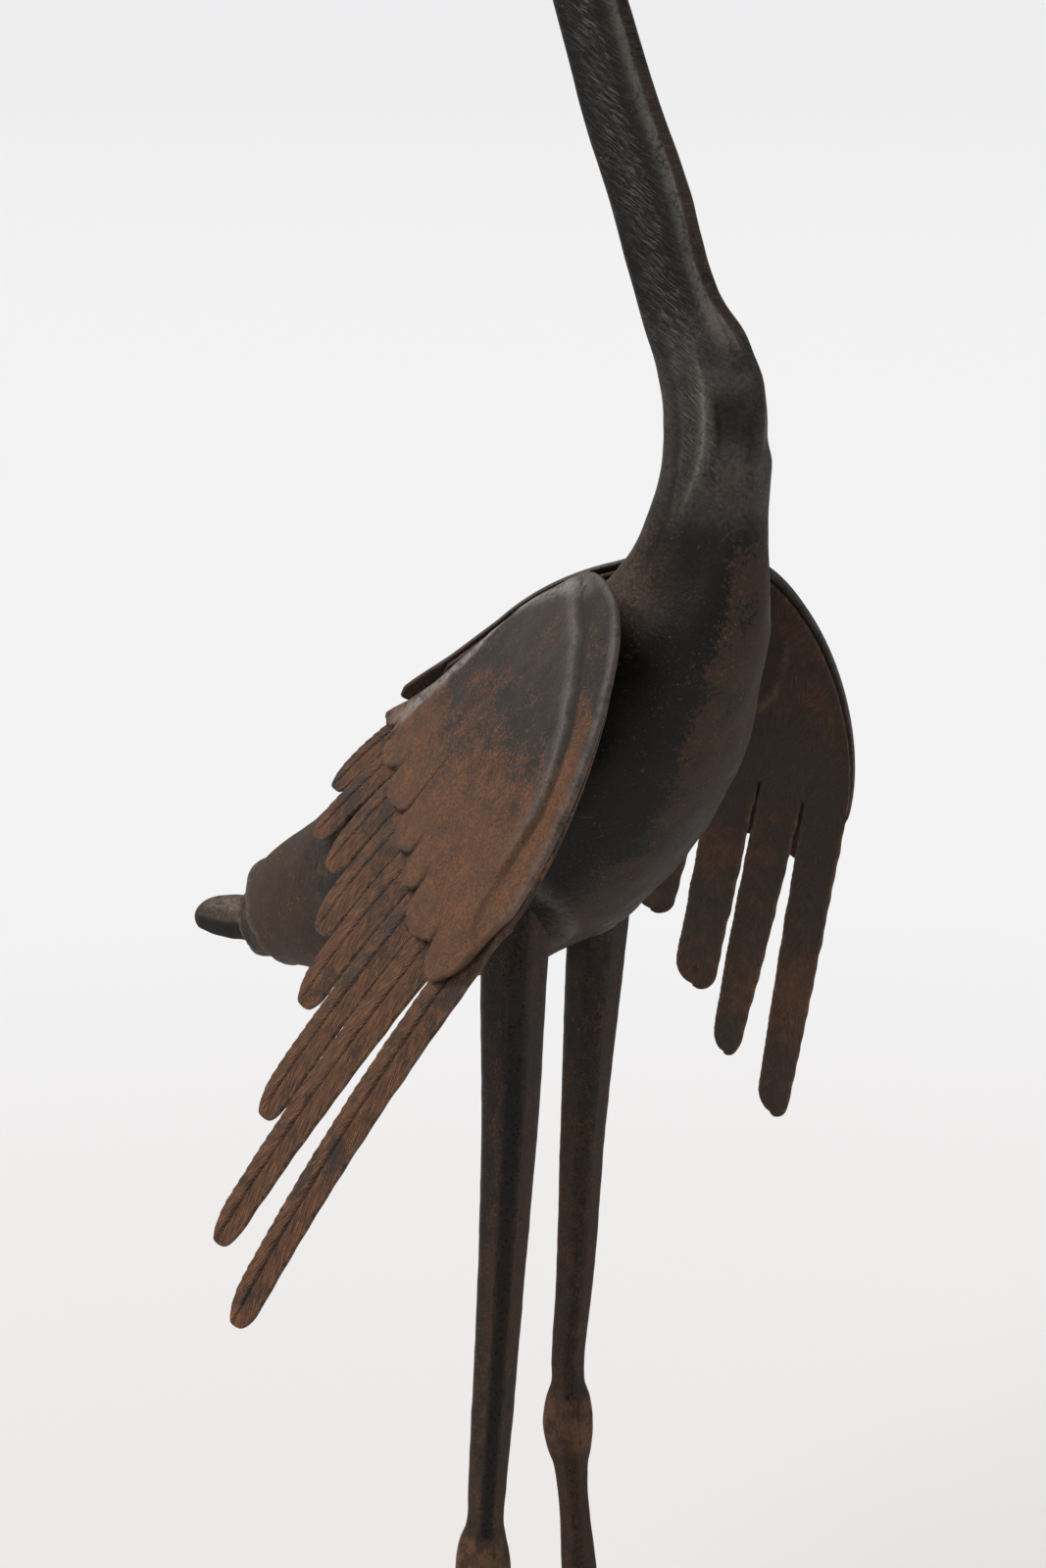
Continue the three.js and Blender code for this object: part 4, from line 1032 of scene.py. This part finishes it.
def feather_iron():
    """Chiselled sheet: brown, with barb lines slanting to the tip, orange rust and painted shade down the
    quill grooves.
    """
    iron = Finish("feather_iron")
    across, along, cut, worn, under = iron.marks("across", "along", "cut", "worn", "under")
    mottle = iron.cloud(6, 8, 0.7)
    patches = iron.cloud(26, 5, 0.6)
    fine = iron.cloud(2.4, 5, 0.7)
    grain = iron.cloud(1, 4, 0.7)
    aside = abs(across)
    vane = iron.step(along, 2, 14) * (1 - under)
    slant = (along - aside * 1.75 + fine * 2.2) / 1.9
    barbs = iron.wave(slant) * vane
    finer = iron.strokes(aside * 0.96 - along * 0.27 + mottle * 2, along * 0.96 + aside * 0.27, 0.42, 9)
    broad = iron.cloud(60, 4, 0.5)
    near_root = iron.step(along, 90, 20)
    bare = iron.step(patches * 0.4 + mottle * 0.4 + grain * 0.2 - near_root * 0.05, 0.49, 0.42)
    orange = iron.step(grain * 0.4 + finer * 0.35 + mottle * 0.25 + cut * 0.08, 0.52, 0.62) * (1 - bare)
    bright = worn * iron.step(mottle * 0.5 + fine * 0.5, 0.4, 0.6)
    dull = iron.step(broad * 0.7 + mottle * 0.3, 0.54, 0.42)
    warm = iron.step(broad * 0.4 + mottle * 0.3 + grain * 0.3, 0.5, 0.64)
    colour = iron.coats(
        (60, 40, 30),
        (iron.step(finer, 0.32, 0.68), (122, 84, 59)),
        (orange * 0.6, (148, 94, 56)),
        (bare * (1 - under * 0.8) * 0.7, (50, 47, 45)),
        (under * 0.7, (43, 30, 20)),
        (under * dull * 0.45, (33, 32, 29)),
        (under * warm * 0.75, (96, 59, 33)),
        ((1 - barbs) * vane * 0.16, (34, 24, 19)),
        # Painted shade down the quill grooves.
        (cut * 0.9, (20, 14, 12)),
        (bright * 0.4, (136, 112, 90)),
    )
    rough = 0.6 + fine * 0.2 - bright * 0.12 - under * 0.08
    metal = 0.12 + bright * 0.3
    height = mottle * 0.3 + fine * 0.2 + grain * 0.25 + (barbs * 0.25 + finer * 0.7) * vane
    return iron.done(colour, rough, metal, height, 0.8, 0.22)


feather_finish = feather_iron()
for hand in ("right", "left"):
    finished(flight_feathers(hand), f"wing_{hand}_flight_feathers", feather_finish)

# Legs: each one square bar with its corners taken off, drawn thinner from the thigh down, upset into a
# knob at the hock, and split and drawn out into four toes at the foot. Dark, pitted along the corners.
LEG_OFFSET = 28
# Each row is where the bar's middle passes, y and z, and how wide the bar is there.
RIGHT_LEG = [
    [-1, 500, 19], [4, 460, 18.8], [7, 388, 15.8], [11, 330, 13.3], [15, 280, 12], [18, 245, 10.9],
    [19, 232, 10.6], [20, 225, 13.4], [20, 213, 16], [20, 202, 13.6], [20, 195, 10.5], [19, 150, 10.2],
    [17, 70, 9.4], [15, 24, 10], [14, 8.3, 14],
]
LEFT_LEG = [
    [5, 500, 18.5], [10, 455, 17.5], [17, 373, 13.2], [21, 310, 10.9], [24, 278, 9.7],
    [24, 269, 9.9], [24, 263, 12.9], [24, 252, 14.8], [23.3, 242, 12.8], [22.6, 236, 10.2], [18, 190, 10.4],
    [9, 90, 9.4], [4, 24, 10], [3, 8.3, 14],
]
# How far down its line each leg starts, inside the belly.
LEG_STARTS = {"right": 22, "left": 20}
LEG_SIDES = 64
LEG_STEP = 1.9
CORNERS_OFF = [0.52, 0.61, 0.52, 0.61]
TOE_CORNERS_OFF = [0.61] * 4
HAMMERED_OUT = 1.08
KNOB_WIDTH = 11.6
CORNER_PITTED = {"right": 1, "left": 0.3}
# The way each toe points, in degrees, and its length.
TOES = [(-26, 56), (0, 64), (26, 56), (180, 26)]
TOE_PROFILE = [(0, 1), (0.3, 1.02), (0.42, 1.14), (0.55, 0.86), (0.8, 0.66), (1, 0.34)]
TOE_ROOT, TOE_TIP = 11, 4.5
TOE_RINGS, TOE_SIDES = 44, 28
FLOOR = 8.3


def bar_section(angle, width, corners_off, crispness):
    """The section of a square bar of that width whose corners are taken off."""
    quarter = math.pi / 2
    faces = [(turn * quarter, 2 / width) for turn in range(4)]
    corners = [((turn + 0.5) * quarter, 1 / (off * width)) for turn, off in enumerate(corners_off)]
    return section(angle, faces + corners, crispness)


def shank(rows, hand, x):
    """One leg's bar, from inside the belly to the foot."""
    line = RowCurve(rows)
    stops = np.arange(LEG_STARTS[hand], line.length, LEG_STEP)
    stops = np.concatenate([[stops[0]], stops, [line.length, line.length]])
    open_ = np.ones(len(stops))
    open_[[0, -1]] = 0

    def place(ring, side):
        y, z, width = line.at(stops[ring])
        width = width * HAMMERED_OUT
        angle = 2 * math.pi * (side + 0.5) / LEG_SIDES
        radius, ridge = bar_section(angle, width, CORNERS_OFF, 18)
        from_corner = np.abs((angle - math.pi / 4 + math.pi / 2) % math.pi - math.pi / 2)
        corner = smooth(0.5, 0.3, from_corner)
        spot = points_at(x + np.cos(angle) * 7, y + np.sin(angle) * 7, z)
        hammered = 0.1 * lumps(spot, 22) + 0.1 * lumps(spot + 30, 5)
        radius = (radius + hammered - 0.2 * corner * (1 + lumps(spot + 60, 4))) * open_[ring]
        points = points_at(x + radius * np.cos(angle), y + radius * np.sin(angle), z)
        knob = smooth(1.2, 3.4, width - KNOB_WIDTH) * smooth(300, 272, z) * smooth(60, 100, z)
        pitted = CORNER_PITTED[hand] * corner * (1 - knob) * (1 - 0.5 * smooth(390, 440, z))
        return points, {"worn": ridge, "corner": pitted, "knob": knob}

    return rolled("shank", len(stops), LEG_SIDES, place)


def toe(direction, length, x, y):
    """One toe, drawn out from the foot and flat where it lies on the base."""
    turned = math.radians(direction)

    def place(ring, side):
        part = np.clip((ring - 1) / (TOE_RINGS - 3), 0, 1)
        size = np.interp(part, *zip(*TOE_PROFILE)) * (TOE_ROOT + (TOE_TIP - TOE_ROOT) * part)
        size = size * np.where((ring == 0) | (ring == TOE_RINGS - 1), 0, 1)
        angle = 2 * math.pi * (side + 0.5) / TOE_SIDES
        radius, ridge = bar_section(angle, 1, TOE_CORNERS_OFF, 14)
        wide = radius * np.cos(angle) * size
        forward = -length * part
        up = np.maximum(size * (0.5 + radius * np.sin(angle)), 0)
        spot = points_at(wide, forward, up + direction)
        wide = wide + 0.2 * lumps(spot, 5)
        up = up + 0.2 * lumps(spot + 9, 5) * smooth(0.5, 3, up)
        points = points_at(
            x + wide * math.cos(turned) - forward * math.sin(turned),
            y + wide * math.sin(turned) + forward * math.cos(turned),
            FLOOR + up)
        return points, {"worn": ridge, "corner": 0, "knob": 0}

    return rolled("toe", TOE_RINGS, TOE_SIDES, place)


def leg_iron():
    """Dark iron with brown rust on the flats, pitted nearly black down the broad corners, and with less
    rust high up as a painted shadow of the body.
    """
    iron = Finish("leg_iron")
    worn, corner, knob = iron.marks("worn", "corner", "knob")
    height_up = iron.parts(iron.place)[2]
    # Less rust above this, so the legs' tops stay dark as a painted shadow of the body.
    below_body_shadow = iron.step(height_up, 430, 350)
    patches = iron.cloud(26, 6, 0.62, (1, 1, 0.35))
    mottle = iron.cloud(5, 8, 0.7, (1, 1, 0.5))
    fine = iron.cloud(2.2, 5, 0.7)
    grain = iron.cloud(1, 4, 0.7)
    ragged = iron.step(corner * 0.15 + patches * 0.25 + mottle * 0.45 + fine * 0.3, 0.57, 0.65)
    pits = iron.step(iron.pits(1.9), 0.34, 0.12) * iron.step(fine, 0.42, 0.58)
    rust = patches * 0.35 + mottle * 0.3 + grain * 0.35 - corner * 0.06 + knob * 0.07 + below_body_shadow * 0.04
    rust = iron.step(rust, 0.47, 0.57)
    orange = iron.step(grain * 0.55 + mottle * 0.45, 0.53, 0.64) * rust
    bright = worn * iron.step(fine * 0.5 + mottle * 0.5, 0.42, 0.6)
    colour = iron.coats(
        (20, 18, 17),
        (fine, (40, 33, 29)),
        (rust * 0.7, (72, 51, 38)),
        (orange * 0.5, (112, 73, 47)),
        (knob * iron.step(mottle * 0.6 + fine * 0.4, 0.42, 0.56) * 0.6, (112, 80, 58)),
        (ragged * 0.8, (15, 14, 13)),
        (pits * (0.2 + ragged * 0.5), (12, 10, 9)),
        (bright * 0.25, (96, 86, 77)),
    )
    rough = 0.5 + rust * 0.2 - bright * 0.1
    metal = 0.2 + bright * 0.3
    height = mottle * 0.35 + fine * 0.3 + grain * 0.3 - pits * (0.2 + ragged * 0.6) - ragged * 0.3
    return iron.done(colour, rough, metal, height, 0.7, 0.22)


leg_finish = leg_iron()
for hand, rows, x in (("right", RIGHT_LEG, -LEG_OFFSET), ("left", LEFT_LEG, LEG_OFFSET)):
    foot_y = rows[-1][0]
    parts = [shank(rows, hand, x)] + [toe(direction, length, x, foot_y) for direction, length in TOES]
    finished(joined(f"leg_{hand}_dressed", parts), f"leg_{hand}", leg_finish)

# Base: one piece of 8 mm plate with round corners and its edges broken with a file. The feet are welded to
# it. Dark brown rust, a little orange, rubbed along the edge.
BASE_LENGTH, BASE_WIDTH, BASE_THICK = 250, 190, 8
BASE_SIDES = 240
FILED_OFF = 0.0022
# The plate's outside from the middle of its top to the middle of its underside: how far out, as a share of
# its size, and how high.
BASE_EDGE = [
    (0.984, BASE_THICK), (0.988, 7.7), (0.994, 7.1), (0.998, 6.7), (1, 6.2), (1, 4), (1, 1.8), (0.998, 0.8),
    (0.992, 0),
]
base_rings = [(0, BASE_THICK)] + [(share, BASE_THICK) for share in np.linspace(0.02, 0.975, 60)]
base_rings += BASE_EDGE + [(share, 0) for share in np.linspace(0.95, 0.05, 12)] + [(0, 0)]


def place_on_base(ring, side):
    """Points of the plate, which is a little dented and filed unevenly along its edge."""
    share, z = np.array(base_rings)[ring].T
    angle = 2 * math.pi * side / BASE_SIDES
    faces = [(turn * math.pi / 2, 2 / across) for turn, across in enumerate([BASE_WIDTH, BASE_LENGTH] * 2)]
    radius, _ = section(angle, faces, 11)
    points = points_at(share * radius * np.cos(angle), share * radius * np.sin(angle), z)
    top = smooth(6, 8, z)
    dents = np.abs(lumps(points, 26)) * 0.4 + np.abs(lumps(points + 60, 8)) * 0.16
    points[:, 2] -= dents * top
    edge = smooth(0.93, 1, share) * smooth(2, 5, z)
    inward = 1 - FILED_OFF * (1 + lumps(points, 15)) * (share > 0.97)
    points[:, :2] *= inward[:, None]
    return points, {"worn": edge * smooth(7.9, 7.1, z)}


def base_iron():
    """Plate with an even dark brown rust."""
    iron = Finish("base_iron")
    [worn] = iron.marks("worn")
    patches = iron.cloud(45, 6, 0.6)
    mottle = iron.cloud(9, 8, 0.66)
    grain = iron.cloud(1.5, 6, 0.7)
    rust = iron.step(patches * 0.5 + mottle * 0.5, 0.42, 0.62)
    orange = iron.step(mottle * 0.6 + grain * 0.45, 0.62, 0.76)
    bright = worn * iron.step(grain * 0.5 + mottle * 0.5, 0.4, 0.58)
    colour = iron.coats(
        (36, 31, 28),
        (mottle, (58, 47, 40)),
        (rust * 0.7, (84, 63, 50)),
        (orange * 0.6, (128, 84, 54)),
        (bright * 0.5, (124, 114, 104)),
    )
    rough = 0.62 + mottle * 0.2 - bright * 0.1
    metal = 0.15 + bright * 0.3
    height = mottle * 0.5 + grain * 0.5
    return iron.done(colour, rough, metal, height, 0.6, 0.35)


base = rolled("base_dressed", len(base_rings), BASE_SIDES, place_on_base)
finished(base, "base", base_iron())

# Studio: a pale floor without end, soft light from above and behind on the left, and a camera a little
# above the bird's back that looks down on its near side.
# In metres, as Blender has it.
CAMERA_PLACE = (-1.0231, -0.8050, 0.7872)
CAMERA_AZIMUTH, CAMERA_ELEVATION = math.radians(-51), math.radians(12)
LENS_LENGTH = 85
FLOOR_SIZE = 3000
AIR_COLOUR = (0.97, 0.985, 1, 1)
AIR_STRENGTH = 0.35

bm = bmesh.new()
bmesh.ops.create_grid(bm, x_segments=1, y_segments=1, size=FLOOR_SIZE)
floor = piece_from(bm, "studio_floor")
pale = Finish("pale_floor")
away = pale.node("ShaderNodeVectorMath", {0: pale.place}, "Value", operation="LENGTH")
# The floor is painted darker and warmer close round the bird as painted shade, and a little darker again
# far off as a painted fall-off of light.
floor_with_painted_shade = pale.coats(
    (236, 232, 230),
    (pale.step(away, 0.2, 2.2), (244, 243, 243)),
    (pale.step(away, 4, 30), (240, 239, 240)),
)
pale_shader = pale.node("ShaderNodeBsdfPrincipled", {
    "Base Color": floor_with_painted_shade, "Roughness": 0.9, "Specular IOR Level": 0.1})
pale.node("ShaderNodeOutputMaterial", {"Surface": pale_shader})
floor.data.materials.append(pale.material)

world = bpy.data.worlds.new("studio_air")
world.use_nodes = True
air = world.node_tree.nodes["Background"]
air.inputs["Color"].default_value = AIR_COLOUR
air.inputs["Strength"].default_value = AIR_STRENGTH
bpy.context.scene.world = world


def soft_light(name, strength, spread, azimuth, elevation):
    """Light from a far, large source in that direction, in degrees. Azimuth 0 is behind the bird, +Y."""
    lamp = bpy.data.lights.new(name, "SUN")
    lamp.energy = strength
    lamp.angle = math.radians(spread)
    light = bpy.data.objects.new(name, lamp)
    light.rotation_euler = (math.radians(elevation - 90), 0, -math.radians(azimuth))
    bpy.context.collection.objects.link(light)


soft_light("window_behind", 2, 30, -25, 52)
soft_light("window_beside", 0.8, 25, -95, 40)

lens = bpy.data.cameras.new("camera")
lens.lens = LENS_LENGTH
lens.sensor_width = 36
lens.clip_end = 2 * FLOOR_SIZE
camera = bpy.data.objects.new("camera", lens)
camera.location = CAMERA_PLACE
camera.rotation_euler = (math.pi / 2 - CAMERA_ELEVATION, 0, CAMERA_AZIMUTH)
bpy.context.collection.objects.link(camera)
bpy.context.scene.camera = camera
bpy.context.scene.view_settings.view_transform = "Standard"
